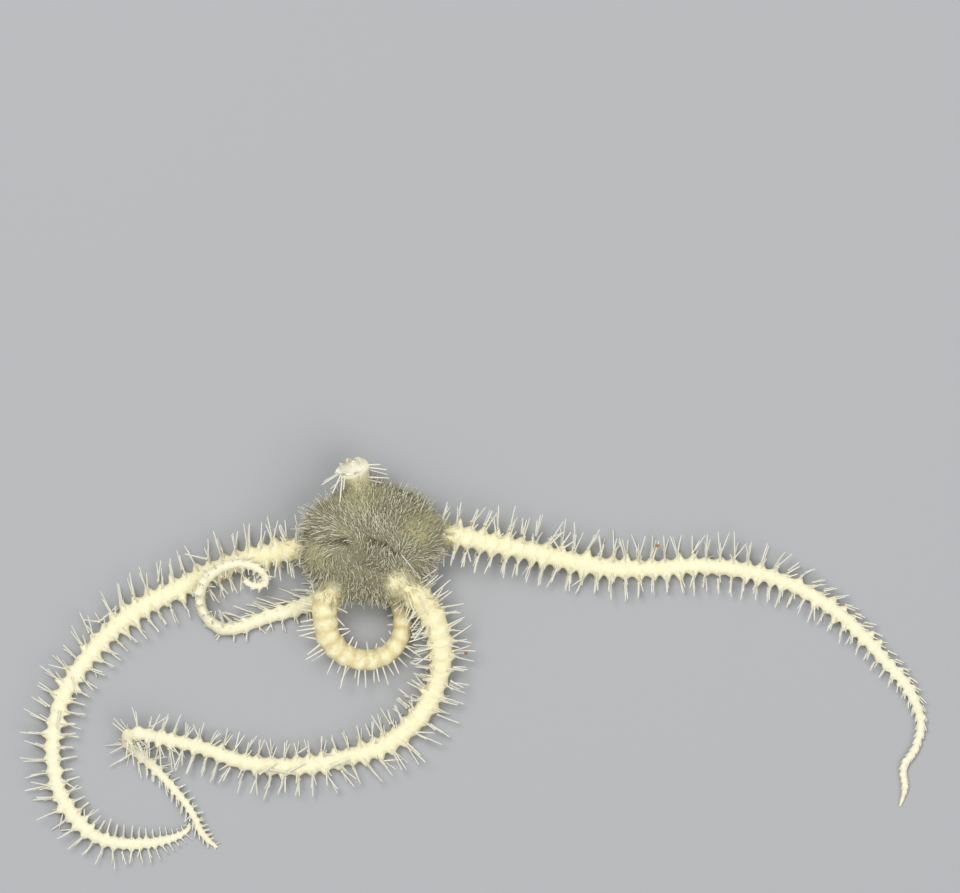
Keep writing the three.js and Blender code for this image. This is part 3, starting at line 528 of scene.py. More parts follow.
def broken_end(route, sizes):
    """The chalky, faceted end of the broken arm: a ragged plug with a hollow in its face."""
    middle, way, back, side, width = route.at(route.length)
    # Each ring of the plug: how far along the arm it is, and its share of the arm's width
    rings = [(-0.3, 0.8), (-0.22, 1.0), (0.05, 1.0), (0.14, 0.86), (-0.06, 0.68), (0.02, 0.34)]
    bm = bmesh.new()
    bmesh.ops.create_circle(bm, cap_ends=True, segments=sizes.facets, radius=1.0)
    loop = list(bm.edges)
    turns = {v: math.atan2(v.co.y, v.co.x) for v in bm.verts}
    for number, (move, share) in enumerate(rings):
        if number:
            made = bmesh.ops.extrude_edge_only(bm, edges=loop)["geom"]
            loop = [item for item in made if isinstance(item, bmesh.types.BMEdge)
                    and all(v in made for v in item.verts)]
            turns = {v: turns[near_of(v, turns)] for v in made if isinstance(v, bmesh.types.BMVert)}
        for v, turn in turns.items():
            draws = [draw_for(sizes.seed, number, round(turn, 3), k) for k in range(3)]
            chip = Vector(draws) - Vector((0.5, 0.5, 0.5))
            reach = outline(turn, width) * share
            v.co = (middle + way * (move * MM) + side * (math.sin(turn) * reach)
                    + back * (math.cos(turn) * reach) + chip * (sizes.chips if number else 0))
    bmesh.ops.edgeloop_fill(bm, edges=loop)
    bmesh.ops.triangulate(bm, faces=bm.faces)
    bmesh.ops.subdivide_edges(bm, edges=bm.edges, cuts=1, use_grid_fill=True)
    # Without this the vector noise starts from the clock
    noise.seed_set(sizes.seed)
    for v in bm.verts:
        rough = noise.noise_vector(v.co / (0.24 * MM)) + noise.noise_vector(v.co / (0.7 * MM)) * 1.6
        v.co += rough * (sizes.chips * 0.55)
    bmesh.ops.recalc_face_normals(bm, faces=bm.faces)
    return bm


def near_of(v, others):
    """The vertex of others that a just extruded vertex still lies on."""
    return min(others, key=lambda other: (other.co - v.co).length_squared)


# The form of the disc


def rim_at(angle):
    """The rim's distance from the disc's middle in a direction, in millimetres."""
    turn = (math.degrees(angle) - DISC_RIM[0][0]) % 360
    places = [place - DISC_RIM[0][0] for place, _ in DISC_RIM] + [360]
    i = bisect_right(places, turn) - 1
    part = (turn - places[i]) / (places[i + 1] - places[i])
    one, other = DISC_RIM[i][1], DISC_RIM[(i + 1) % len(DISC_RIM)][1]
    return one + (other - one) * ease(0, 1, part)


def back_height(share):
    """The height of the disc's back at a share of the way out to its rim, in millimetres."""
    return DISC["rim"] + (DISC["top"] - DISC["rim"]) * (1 - share ** 2.4) ** 0.6


def belly_height(share):
    """The height of the disc's belly at a share of the way out to its rim, in millimetres."""
    return DISC["rim"] - (DISC["rim"] - DISC["underside"]) * (1 - share ** 5) ** 0.5


def nearness(x, y, points):
    """The distance of a place from a row of points joined by lines."""
    best = 1e9
    for (x0, y0), (x1, y1) in zip(points, points[1:]):
        dx, dy = x1 - x0, y1 - y0
        t = min(max(((x - x0) * dx + (y - y0) * dy) / (dx * dx + dy * dy), 0.0), 1.0)
        best = min(best, math.hypot(x - x0 - dx * t, y - y0 - dy * t))
    return best


def disc_place(angle, share, below=False):
    """A point of the disc's skin in the traced frame, in millimetres, and how far in a fold."""
    share = min(share, 1.0)
    reach = rim_at(angle) * share
    x, y = DISC["x"] + reach * math.cos(angle), DISC["y"] + reach * math.sin(angle)
    if below:
        hollow = 1 - ease(1.2, MOUTH["jaws"] + 0.1, math.hypot(x - MOUTH["x"], y - MOUTH["y"]))
        z = belly_height(share) + MOUTH["hollow"] * hollow + 0.28 * (1 - rib_share(x, y))
        return Vector((x, y, min(z, DISC["rim"]))), hollow
    z, fold = back_height(share), 0.0
    for points, depth, half in FOLDS:
        near = math.exp(-(nearness(x, y, points) / half) ** 2)
        z -= depth * near
        fold = max(fold, near * min(depth / 0.5, 1.0))
    swell = noise.noise(Vector((x * 0.55, y * 0.55, 1.7))) + 0.5 * noise.noise(Vector((x, y, 4.1)))
    z += 0.12 * swell * (1 - share ** 4)
    return Vector((x, y, z)), fold


def rib_share(x, y):
    """How near a place of the belly is to the rib that runs from the mouth to an arm."""
    middle = (MOUTH["x"], MOUTH["y"])
    near = min(nearness(x, y, [middle, stations[1][:2]]) for stations in ARMS.values())
    return max(math.exp(-(near / 0.8) ** 4), 1 - ease(2.4, 3.6, math.dist((x, y), middle)))


def bare_share(x, y):
    """How bare of spinelets a place of the disc's back is."""
    best = 0.0
    for points, half in BARE:
        best = max(best, 1 - ease(half * 0.3, half * 1.4, nearness(x, y, points)))
    return best


def olive_share(x, y):
    """How yellow the disc's skin is at a place."""
    return max(math.exp(-(math.hypot(x - ox, y - oy) / half) ** 2) for ox, oy, half in OLIVE)


def disc_skin(skin):
    """The closed skin of the disc, shaped from a sphere."""
    bm = bmesh.new()
    layers = {name: bm.verts.layers.float.new(name) for name in MARKS}
    steps = skin.disc_steps
    bmesh.ops.create_uvsphere(bm, u_segments=steps, v_segments=steps // 2, radius=1.0)
    for v in bm.verts:
        share = math.hypot(v.co.x, v.co.y)
        angle = math.atan2(v.co.y, v.co.x) if share > 1e-6 else 0.0
        below = v.co.z < -1e-6
        point, fold = disc_place(angle, share, below)
        bare = (rib_share if below else bare_share)(point.x, point.y)
        v.co = away(*point)
        v[layers["coat"]] = 1 - bare
        # How far in a fold, which also masks the painted shade of the folds
        v[layers["fold"]] = fold
        v[layers["root"]] = bare
        v[layers["olive"]] = olive_share(point.x, point.y)
    bmesh.ops.recalc_face_normals(bm, faces=bm.faces)
    return bm


# Making objects


def mesh_object(name, bm):
    """A new smooth object from a bmesh."""
    mesh = bpy.data.meshes.new(name)
    bm.to_mesh(mesh)
    bm.free()
    mesh.shade_smooth()
    return placed(name, mesh)


def placed(name, data):
    """A new object in the scene, of a mesh, a light or a camera."""
    piece = bpy.data.objects.new(name, data)
    bpy.context.scene.collection.objects.link(piece)
    return piece


def dress(piece, material):
    """Gives a finished piece its material and its body."""
    piece.data.materials.clear()
    piece.data.materials.append(material)
    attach(piece, "root")
    return piece


def joined(piece, others):
    """The union of a closed piece with others, which are removed."""
    group = bpy.data.collections.new("others")
    bpy.context.scene.collection.children.link(group)
    for other in others:
        group.objects.link(other)
    union = piece.modifiers.new("union", "BOOLEAN")
    union.operation = "UNION"
    union.operand_type = "COLLECTION"
    union.solver = "MANIFOLD"
    union.collection = group
    bpy.context.view_layer.update()
    shape = piece.evaluated_get(bpy.context.evaluated_depsgraph_get())
    mesh = bpy.data.meshes.new_from_object(shape)
    piece.modifiers.clear()
    if len(mesh.polygons) < len(piece.data.polygons):
        raise RuntimeError("the arms and the disc didn't join")
    piece.data = mesh
    mesh.name = piece.name
    for other in others:
        bpy.data.objects.remove(other)
    bpy.data.collections.remove(group)
    fill_seams(mesh)
    mesh.shade_smooth()
    return piece


def fill_seams(mesh):
    """Gives the new points along a union's seams, whose marks are all 0, the mean marks of the
    points beside them."""
    ends = np.empty(len(mesh.edges) * 2, dtype=np.int32)
    mesh.edges.foreach_get("vertices", ends)
    ends = ends.reshape(-1, 2)
    marks = np.empty((len(MARKS), len(mesh.vertices)), dtype=np.float32)
    for values, name in zip(marks, MARKS):
        mesh.attributes[name].data.foreach_get("value", values)
    for _ in range(SEAM_ROUNDS):
        empty = ~marks.any(axis=0)
        total, count = np.zeros_like(marks), np.zeros(len(empty), dtype=np.float32)
        for new, known in (ends.T, ends.T[::-1]):
            beside = empty[new] & ~empty[known]
            np.add.at(count, new[beside], 1)
            np.add.at(total.T, new[beside], marks.T[known[beside]])
        ready = count > 0
        marks[:, ready] = total[:, ready] / count[ready]
    for values, name in zip(marks, MARKS):
        mesh.attributes[name].data.foreach_set("value", values)


# Many slender tubes as one mesh, from arrays


def tubes(name, spikes, rings, sides, taper):
    """One mesh of slender closed tubes. A spike is a dict of root, tip, bend, radius, place on the
    unwrapped skin, tone and warmth; taper gives the share of the radius at each ring."""
    count = len(spikes)
    root = np.array([s["root"] for s in spikes])
    tip = np.array([s["tip"] for s in spikes])
    bend = np.array([s["bend"] for s in spikes])
    radius = np.array([s["radius"] for s in spikes])
    floor = np.array([s.get("floor", -1.0) for s in spikes])
    t = np.linspace(0, 1, rings)
    share = t[None, :, None]
    knee = (root + tip) / 2 + bend
    line = ((1 - share) ** 2 * root[:, None] + 2 * share * (1 - share) * knee[:, None]
            + share ** 2 * tip[:, None])
    line[..., 2] = np.maximum(line[..., 2], floor[:, None])
    way = np.gradient(line, axis=1)
    way /= np.linalg.norm(way, axis=2, keepdims=True)
    least = np.abs(tip - root).argmin(axis=1)
    across = np.cross(way, np.eye(3)[least][:, None])
    across /= np.linalg.norm(across, axis=2, keepdims=True)
    upright = np.cross(way, across)
    turn = np.linspace(0, 2 * np.pi, sides, endpoint=False)
    spread = radius[:, None] * np.array([taper(x) for x in t])[None]
    ring = (np.cos(turn)[None, None, :, None] * across[:, :, None]
            + np.sin(turn)[None, None, :, None] * upright[:, :, None])
    skin = line[:, :, None] + ring * spread[:, :, None, None]
    ends = np.stack([line[:, 0] - way[:, 0] * radius[:, None] * 0.3,
                     line[:, -1] + way[:, -1] * (radius * 0.5)[:, None]], axis=1)
    points = np.concatenate([skin.reshape(count, -1, 3), ends], axis=1).reshape(-1, 3)
    points[:, 2] = np.maximum(points[:, 2], 0.0)
    each = rings * sides + 2
    faces = tube_faces(rings, sides)
    starts = (np.arange(count) * each).tolist()
    all_faces = [[i + start for i in face] for start in starts for face in faces]
    mesh = bpy.data.meshes.new(name)
    mesh.from_pydata(points.tolist(), [], all_faces)
    mark(mesh, "share", np.tile(np.append(np.repeat(t, sides), [0, 1]), count))
    mark(mesh, "tone", np.repeat([s["tone"] for s in spikes], each))
    mark(mesh, "warm", np.repeat([s.get("warm", 0.0) for s in spikes], each))
    patch_map(mesh, spikes, faces, rings, sides)
    mesh.shade_smooth()
    return placed(name, mesh)


def tube_faces(rings, sides):
    """The faces of one tube: its rings' points first, then the points of its two ends."""
    faces = []
    low, high, last = rings * sides, rings * sides + 1, (rings - 1) * sides
    for j in range(sides):
        k = (j + 1) % sides
        faces.append((low, k, j))
        faces.append((high, last + j, last + k))
        for i in range(0, last, sides):
            faces.append((i + j, i + k, i + sides + k, i + sides + j))
    return faces


def mark(mesh, name, values):
    """Writes one number for each point of a mesh."""
    layer = mesh.attributes.new(name, "FLOAT", "POINT")
    layer.data.foreach_set("value", np.asarray(values, dtype=np.float32))


def patch_map(mesh, spikes, faces, rings, sides):
    """The OFBake map: each spike is a small patch at its root's place on the unwrapped skin."""
    patch = 0.003
    corners = np.array([i for face in faces for i in face])
    across = np.where(corners < rings * sides, corners % sides / sides, 0.5) - 0.5
    up = np.where(corners < rings * sides, corners // sides / (rings - 1), corners % 2) - 0.5
    offset = np.stack([across, up], axis=1) * patch
    places = np.array([s["place"] for s in spikes])
    values = (places[:, None] + offset[None]).reshape(-1)
    layer = mesh.uv_layers.new(name="OFBake")
    layer.data.foreach_set("uv", values.astype(np.float32))


def unwrap_arm(arm, share, angle):
    """A place on the unwrapped skin: each arm is a strip, cut open along its mouth side."""
    row = list(ARMS).index(arm)
    return 0.02 + 0.96 * share, 0.1 * row + 0.05 + 0.045 * angle / math.pi


def unwrap_disc(angle, share, below):
    """A place on the unwrapped skin: the disc's back and belly are each laid out flat."""
    reach = 0.22 * share
    return (0.75 if below else 0.25) + reach * math.cos(angle), 0.75 + reach * math.sin(angle)


# Arm spines


def disc_share(point, margin=0.0):
    """How far out from the disc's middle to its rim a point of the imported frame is, from above."""
    x = point.x / MM + MIDDLE[0] - DISC["x"]
    y = point.y / MM + MIDDLE[1] - DISC["y"]
    return math.hypot(x, y) / (rim_at(math.atan2(y, x)) + margin)


def in_disc(point, margin=0.0):
    """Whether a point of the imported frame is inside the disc's skin."""
    share = disc_share(point, margin)
    if share >= 1:
        return False
    return belly_height(share) - margin < point.z / MM < back_height(share) + margin


def spine_needles(arm, route, sizes, skin):
    """The spines of one arm, comb by comb on both sides."""
    rng = np.random.default_rng(sizes.seed + ord(arm))
    spikes = []
    for start, end in route.segments():
        s = start + (end - start) * COMB_PLACE
        share = s / route.length
        rows = next(rows for until, rows in COMBS if share < until)
        form, spread = (along(COMB_FORMS[arm], share, column) for column in (1, 2))
        width = route.at(s)[-1]
        scale = min(width / FULL_WIDTH, 1.0)
        looped = arm == "d" and share < LOOP_SHARE
        for hand in (-1, 1):
            table = SPINES[arm, hand]
            longest, lean, sway, apart = (along(table, share, column) for column in range(1, 5))
            lean += rng.uniform(-1, 1) * sway * 0.9
            for row, (rise, length) in enumerate(rows):
                if rng.random() < sizes.lost or looped and abs(rise) > LOOP_RISES[hand]:
                    continue
                angle = math.radians(rise + rng.normal(0, 4))
                turn = math.pi / 2 - angle
                comb = comb_stand(COMB_PLACE, turn, width, skin.comb * form, skin)
                root_reach = outline(turn, width) + comb - sizes.sink
                lift = math.radians(rise * sizes.fan + rng.normal(0, 2 + apart * 0.4))
                tilt = math.radians(lean + rng.normal(0, 0.6) * apart)
                if rng.random() < sizes.loose:
                    tilt += rng.normal(0, 0.6)
                foot = rng.uniform(-1, 1) * spread * (end - start)
                if looped:
                    foot = foot * 0.3 + (row % 3 - 1) / 3 * (end - start)
                middle, way, back, side, width = route.at(min(s + foot, route.length))
                if looped:
                    side = way.cross(UP).normalized()
                    back = side.cross(way)
                out = side * (hand * math.cos(angle)) + back * math.sin(angle)
                stand = side * (hand * math.cos(lift)) + back * math.sin(lift)
                aim = stand * math.cos(tilt) + way * math.sin(tilt)
                root = middle + out * root_reach
                reach = longest * MM * length * rng.uniform(0.6, 1.12)
                tip = root + aim * (reach + sizes.sink)
                if in_disc(root, 0.1) or in_disc(root.lerp(tip, 0.5), 0.1):
                    continue
                radius = sizes.radius * (0.6 + 0.4 * scale) * rng.uniform(0.9, 1.1)
                spikes.append({
                    "root": root, "tip": tip, "radius": radius, "floor": radius,
                    "bend": Vector(rng.normal(0, 1, 3)) * reach * sizes.bend,
                    "place": unwrap_arm(arm, share, turn * hand), "tone": rng.random(),
                })
    return spikes


def single_needles(sizes):
    """The spines that are set one by one. Each is arched over the disc where it lies on it."""
    rng = np.random.default_rng(sizes.seed)
    spikes = []
    for i, (root, tip) in enumerate(SINGLE_SPINES):
        root, tip = away(*root), away(*tip)
        middle = (root + tip) / 2
        arch = (tip - root).length * 0.05
        share = disc_share(middle)
        if share < 1:
            arch = max(arch, 2 * ((back_height(share) + 0.2) * MM - middle.z))
        spikes.append({
            "root": root, "tip": tip, "bend": UP * arch, "radius": sizes.radius * 1.05,
            "place": unwrap_arm("e", 0.5 + 0.03 * i, 0.2 * i), "tone": rng.random(),
        })
    return spikes


def spine_taper(t):
    """A spine's radius along it: a swollen foot, an even beaded shaft and a blunt point."""
    foot = 0.7 * math.exp(-((t / 0.07) ** 2))
    beads = 0.09 * math.cos(t * (SPINE_RINGS - 1) * math.pi) * ease(0.05, 0.2, t)
    point = 1 - 0.45 * ease(0.94, 1.0, t)
    return (1.12 - 0.42 * t + foot + beads) * point


# Disc spinelets


def lie_at(x, y):
    """How the spinelets lie at a place of the disc's back: a flat way, and a share of the lean."""
    total, lean, pulls = Vector((0.0, 0.0)), 0.0, 0.0
    for lx, ly, degrees, share in LIE:
        pull = 1 / ((x - lx) ** 2 + (y - ly) ** 2 + 0.15) ** 2
        total += Vector((math.cos(math.radians(degrees)), math.sin(math.radians(degrees)))) * pull
        lean += share * pull
        pulls += pull
    return total.normalized(), lean / pulls


def under_arm(point):
    """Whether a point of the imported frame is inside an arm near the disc."""
    for route in ROUTES.values():
        for _, middle, _, _, width, _ in route.samples[:: 8]:
            if (point - middle).length < width * 1.08:
                return True
    return False


def coat_place(u):
    """The share of the way out to the rim of a spinelet, and whether it is below the rim."""
    if u < BACK_END:
        return math.sqrt(u / BACK_END), False
    if u < RIM_END:
        return 1.0, u > (BACK_END + RIM_END) / 2
    return math.sqrt(1 - BELLY_PART * (u - RIM_END) / (1 - RIM_END)), True


def spinelet_hairs(sizes):
    """The spinelets of the disc's back, rim and belly."""
    rng = np.random.default_rng(sizes.seed)
    hairs = []
    for i in range(sizes.count):
        share, below = coat_place((i + 0.5) / sizes.count)
        share = min(max(share + rng.normal(0, 0.006), 0.0), 1.0)
        angle = i * GOLDEN + rng.normal(0, 0.03)
        point, fold = disc_place(angle, share, below)
        root = away(*point)
        bare = bare_share(point.x, point.y)
        olive = 0.0 if below else olive_share(point.x, point.y)
        lost = max(0.86 * bare ** 1.5, 0.75 * fold, 0.25 * olive)
        if not below and rng.random() < lost or under_arm(root):
            continue
        if below and rib_share(point.x, point.y) > RIB_BARE:
            continue
        out = Vector((math.cos(angle), math.sin(angle), 0.0))
        if below:
            flow, normal = out.copy(), (out * 0.5 - UP * 0.85).normalized()
            lean, length = math.radians(35 + rng.normal(0, 10)), sizes.length * 0.6
        else:
            normal = back_normal(angle, share, point, out)
            flat, share_of_lean = lie_at(point.x, point.y)
            rim = ease(0.82, 0.98, share)
            flow = flat.to_3d().lerp(out, rim * 0.75).normalized()
            upright = share_of_lean * (1 - 0.45 * rim)
            lean = math.radians(sizes.lean * upright + rng.normal(0, 17))
            length = sizes.length * (0.7 + 0.3 * share_of_lean) * (1 + 0.15 * rim)
        flow = (flow - normal * flow.dot(normal)).normalized()
        aim = normal * math.cos(lean) + flow * math.sin(lean)
        aim = (aim + Vector(rng.normal(0, 0.22, 3))).normalized()
        ridge = 0.0 if below else math.exp(-(nearness(point.x, point.y, PALE) / 0.6) ** 2)
        stout = rng.random() < sizes.stout + 0.35 * ridge - 0.2 * olive
        reach = length * rng.uniform(0.45, 1.1) * (1.2 if stout else 0.9) * (1 - 0.4 * fold)
        root -= aim * 0.1 * MM
        hairs.append({
            "root": root, "tip": root + aim * reach,
            "radius": sizes.radius * rng.uniform(0.85, 1.15) * (1.4 if stout else 0.9),
            "bend": (normal * rng.normal(0.12, 0.07) + Vector(rng.normal(0, 0.06, 3))) * reach,
            "place": unwrap_disc(angle, share, below),
            # A high tone is pale: partly the spinelet's own colour, partly painted highlight, more
            # on the ridge
            "tone": rng.uniform(0.75 + 0.2 * ridge, 1.0) if stout else rng.uniform(0.0, 0.75),
            "warm": 0 if below else max(olive * 0.65, min(bare * 2.5, 1)),
        })
    return hairs + stray_hairs(sizes, rng)


def stray_hairs(sizes, rng):
    """The spinelets that spread from the disc onto the roots of the arms, fewer and fewer."""
    hairs = []
    for arm, route in ROUTES.items():
        for _ in range(sizes.strays):
            s, angle = rng.uniform(0, 4.5 * MM), rng.uniform(-1.9, 1.9)
            if s > route.length:
                continue
            middle, way, back, side, width = route.at(s)
            normal = side * math.sin(angle) + back * math.cos(angle)
            root = middle + normal * outline(angle, width) * 0.97
            share = disc_share(root)
            if share < 0.94 or rng.random() < ease(0.94, 1.24, share) or in_disc(root):
                continue
            lean = math.radians(rng.normal(48, 14))
            aim = normal * math.cos(lean) + way * math.sin(lean)
            aim = (aim + Vector(rng.normal(0, 0.15, 3))).normalized()
            reach = sizes.length * rng.uniform(0.5, 0.9)
            hairs.append({
                "root": root, "tip": root + aim * reach, "radius": sizes.radius * 0.9,
                "bend": normal * rng.normal(0.08, 0.05) * reach,
                "place": unwrap_arm(arm, s / route.length, angle), "tone": rng.random(),
                "warm": 0.9,
            })
    return hairs


def back_normal(angle, share, point, out):
    """The way out of the disc's back at a point of it, from the fall of its surface there."""
    steepest = math.radians(80)
    if share > 0.98:
        return out * math.sin(steepest) + UP * math.cos(steepest)
    near, _ = disc_place(angle, share + 0.02)
    fall = (point.z - near.z) / max((near.xy - point.xy).length, 1e-4)
    tilt = min(max(math.atan(fall), 0.0), steepest)
    return out * math.sin(tilt) + UP * math.cos(tilt)


def forks(hairs, share, seed):
    """Two short prongs at the tips of some of the spinelets."""
    rng = np.random.default_rng(seed)
    prongs = []
    for hair in hairs:
        if rng.random() > share:
            continue
        way = hair["tip"] - hair["root"]
        across = way.cross(Vector(rng.normal(0, 1, 3))).normalized() * way.length
        start = hair["root"] + way * 0.9 + hair["bend"] * 0.18
        for hand in (-1, 1):
            prongs.append({
                **hair, "root": start, "bend": Vector(), "radius": hair["radius"] * 0.7,
                "tip": start + way * 0.14 + across * (0.1 * hand),
            })
    return prongs


def hair_taper(t):
    """A spinelet's radius along it."""
    return 1.25 - 0.6 * t


# The mouth


def jaw_turns():
    """The directions of the jaws from the mouth's middle, each between two arms."""
    roots = sorted(math.atan2(stations[0][1] - MOUTH["y"], stations[0][0] - MOUTH["x"])
                   for stations in ARMS.values())
    nexts = roots[1:] + [roots[0] + 2 * math.pi]
    return [(root + following) / 2 for root, following in zip(roots, nexts)]


def mouth_place(turn, reach, across, z):
    """A point that lies reach out from the mouth's middle and across that way, in millimetres."""
    x = MOUTH["x"] + reach * math.cos(turn) - across * math.sin(turn)
    y = MOUTH["y"] + reach * math.sin(turn) + across * math.cos(turn)
    return away(x, y, z)


def jaw_form(share):
    """How far out a jaw is, and its half width, at a share of its length from its point."""
    reach = MOUTH["slit"] + (MOUTH["jaws"] - MOUTH["slit"]) * share
    return reach, 0.17 + 0.42 * share ** 0.8


def jaws():
    """Five swollen jaws with a seam down the middle, and the rounded shield behind each."""
    bm = bmesh.new()
    for turn in jaw_turns():
        jaw = bmesh.ops.create_uvsphere(bm, u_segments=24, v_segments=16, radius=1.0)["verts"]
        for v in jaw:
            x, y, z = v.co
            reach, half = jaw_form((x + 1) / 2)
            seam = JAW["seam"] * math.exp(-(y / 0.14) ** 2) * max(-z, 0)
            height = JAW["height"] + JAW["thick"] * z + seam
            v.co = mouth_place(turn, reach, y * half, height)
        shield = bmesh.ops.create_uvsphere(bm, u_segments=24, v_segments=12, radius=1.0)["verts"]
        for v in shield:
            x, y, z = v.co
            reach, half = SHIELD["reach"] + SHIELD["long"] * x, SHIELD["wide"] * (1 - 0.35 * x)
            v.co = mouth_place(turn, reach, y * half, SHIELD["height"] + SHIELD["thick"] * z)
    bmesh.ops.recalc_face_normals(bm, faces=bm.faces)
    return bm


def papillae(sizes):
    """The small dark papillae along both edges of each jaw, and the teeth at its point."""
    rng = np.random.default_rng(sizes.seed)
    spikes = []
    for turn in jaw_turns():
        for hand in (-1, 0, 1):
            count = sizes.papillae if hand else TEETH
            for i in range(count):
                reach, half = jaw_form(0.12 + 0.72 * i / count)
                reach, half = reach if hand else MOUTH["slit"], hand * half * 0.86
                height = 2.08 if hand else 2.1 + 0.16 * i
                root = mouth_place(turn, reach + 0.06, half, height)
                tip = mouth_place(turn, reach - 0.1 - 0.1 * (1 - abs(hand)),
                                  half + hand * sizes.papilla_length / MM, height - 0.04)
                spikes.append({
                    "root": root, "tip": tip, "bend": Vector(rng.normal(0, 1, 3)) * 0.01 * MM,
                    "radius": 0.055 * MM, "place": unwrap_disc(turn, 0.3, True),
                    "tone": rng.random(),
                })
    return spikes


# Grains of sand


def grain_stones(needles):
    """The grains, each on the spine that is nearest to its place."""
    bm = bmesh.new()
    for number, (x, y, size) in enumerate(GRAINS):
        place = away(x, y).to_2d()
        centre = min((nearest_on(needle, place) for needle in needles),
                     key=lambda point: (point.to_2d() - place).length)
        stone = bmesh.ops.create_icosphere(bm, subdivisions=2, radius=size * MM / 2)["verts"]
        for v in stone:
            chip = noise.noise(v.co / (size * MM * 0.4) + Vector((number, 0, 0)))
            v.co = centre + v.co * (1 + 0.45 * chip)
            v.co.z = max(v.co.z, 0.0)
    return bm


def nearest_on(needle, place):
    """The point of a needle that lies nearest to a place, seen from above."""
    root, tip = needle["root"], needle["tip"]
    way = (tip - root).to_2d()
    share = (place - root.to_2d()).dot(way) / max(way.length_squared, 1e-12)
    share = min(max(share, GRAIN_HOLD[0]), GRAIN_HOLD[1])
    point = root.lerp(tip, share) + needle["bend"] * (2 * share * (1 - share))
    point.z = max(point.z, needle["floor"])
    return point


# Shader maths


class Value:
    """A socket of a material, so that shader maths reads as a plain expression."""

    def __init__(self, finish, socket):
        self.finish, self.socket = finish, socket

    def maths(self, operation, *values, clamp=False):
        """The outcome of a Math node."""
        settings = {"operation": operation, "use_clamp": clamp}
        return self.finish.node("ShaderNodeMath", settings, dict(enumerate(values)))

    def __add__(self, other):
        return self.maths("ADD", self, other)

    __radd__ = __add__

    def __sub__(self, other):
        return self.maths("SUBTRACT", self, other)

    def __rsub__(self, other):
        return self.maths("SUBTRACT", other, self)

    def __mul__(self, other):
        return self.maths("MULTIPLY", self, other)

    __rmul__ = __mul__

    def wave(self):
        """The sine of the value, an angle, brought to between 0 and 1."""
        return self.maths("SINE", self) * 0.5 + 0.5

    def limited(self):
        """The value kept between 0 and 1."""
        return self.maths("ADD", self, 0.0, clamp=True)


class Finish:
    """A procedural material, written node by node."""

    def __init__(self, name):
        self.material = bpy.data.materials.new(name)
        self.material.use_nodes = True
        self.tree = self.material.node_tree
        self.shader = next(n for n in self.tree.nodes if n.type == "BSDF_PRINCIPLED")
        self.place = self.node("ShaderNodeTexCoord", {}, {}, output="Object")

    def join(self, value, socket):
        """Gives a socket a value: another socket, a number, a vector or a colour."""
        if isinstance(value, Value):
            self.tree.links.new(value.socket, socket)
        elif socket.type == "RGBA":
            socket.default_value = (*value, 1.0)
        else:
            socket.default_value = value

    def node(self, kind, settings, sockets, output=0):
        """One of a node's outputs, once its settings and then its sockets are set."""
        made = self.tree.nodes.new(kind)
        for key, value in settings.items():
            setattr(made, key, value)
        for key, value in sockets.items():
            self.join(value, made.inputs[key])
        return Value(self, made.outputs[output])

    def mark(self, name):
        """A number that the mesh holds at each point."""
        return self.node("ShaderNodeAttribute", {"attribute_name": name}, {}, output="Fac")

    def noise(self, size, detail=3.0):
        """Cloudy noise whose features are about size across."""
        sockets = {"Vector": self.place, "Scale": 1 / size, "Detail": detail, "Roughness": 0.55}
        return self.node("ShaderNodeTexNoise", {}, sockets, output="Fac")

    def cells(self, size):
        """Distance to the nearest point of a scatter whose points are about size apart."""
        sockets = {"Vector": self.place, "Scale": 1 / size}
        return self.node("ShaderNodeTexVoronoi", {}, sockets, output="Distance")

    def blend(self, part, one, other):
        """A colour between two others."""
        sockets = {0: part, MIX_ONE: one, MIX_OTHER: other}
        return self.node("ShaderNodeMix", {"data_type": "RGBA"}, sockets, output=MIXED)

    def bump(self, height, distance, strength=1.0):
        """The surface's direction once a height has roughened it."""
        sockets = {"Strength": strength, "Distance": distance, "Height": height}
        return self.node("ShaderNodeBump", {}, sockets, output="Normal")

    def set(self, **sockets):
        """The material, once sockets of its shader are set, by name."""
        for key, value in sockets.items():
            self.join(value, self.shader.inputs[key.replace("_", " ")])
        return self.material


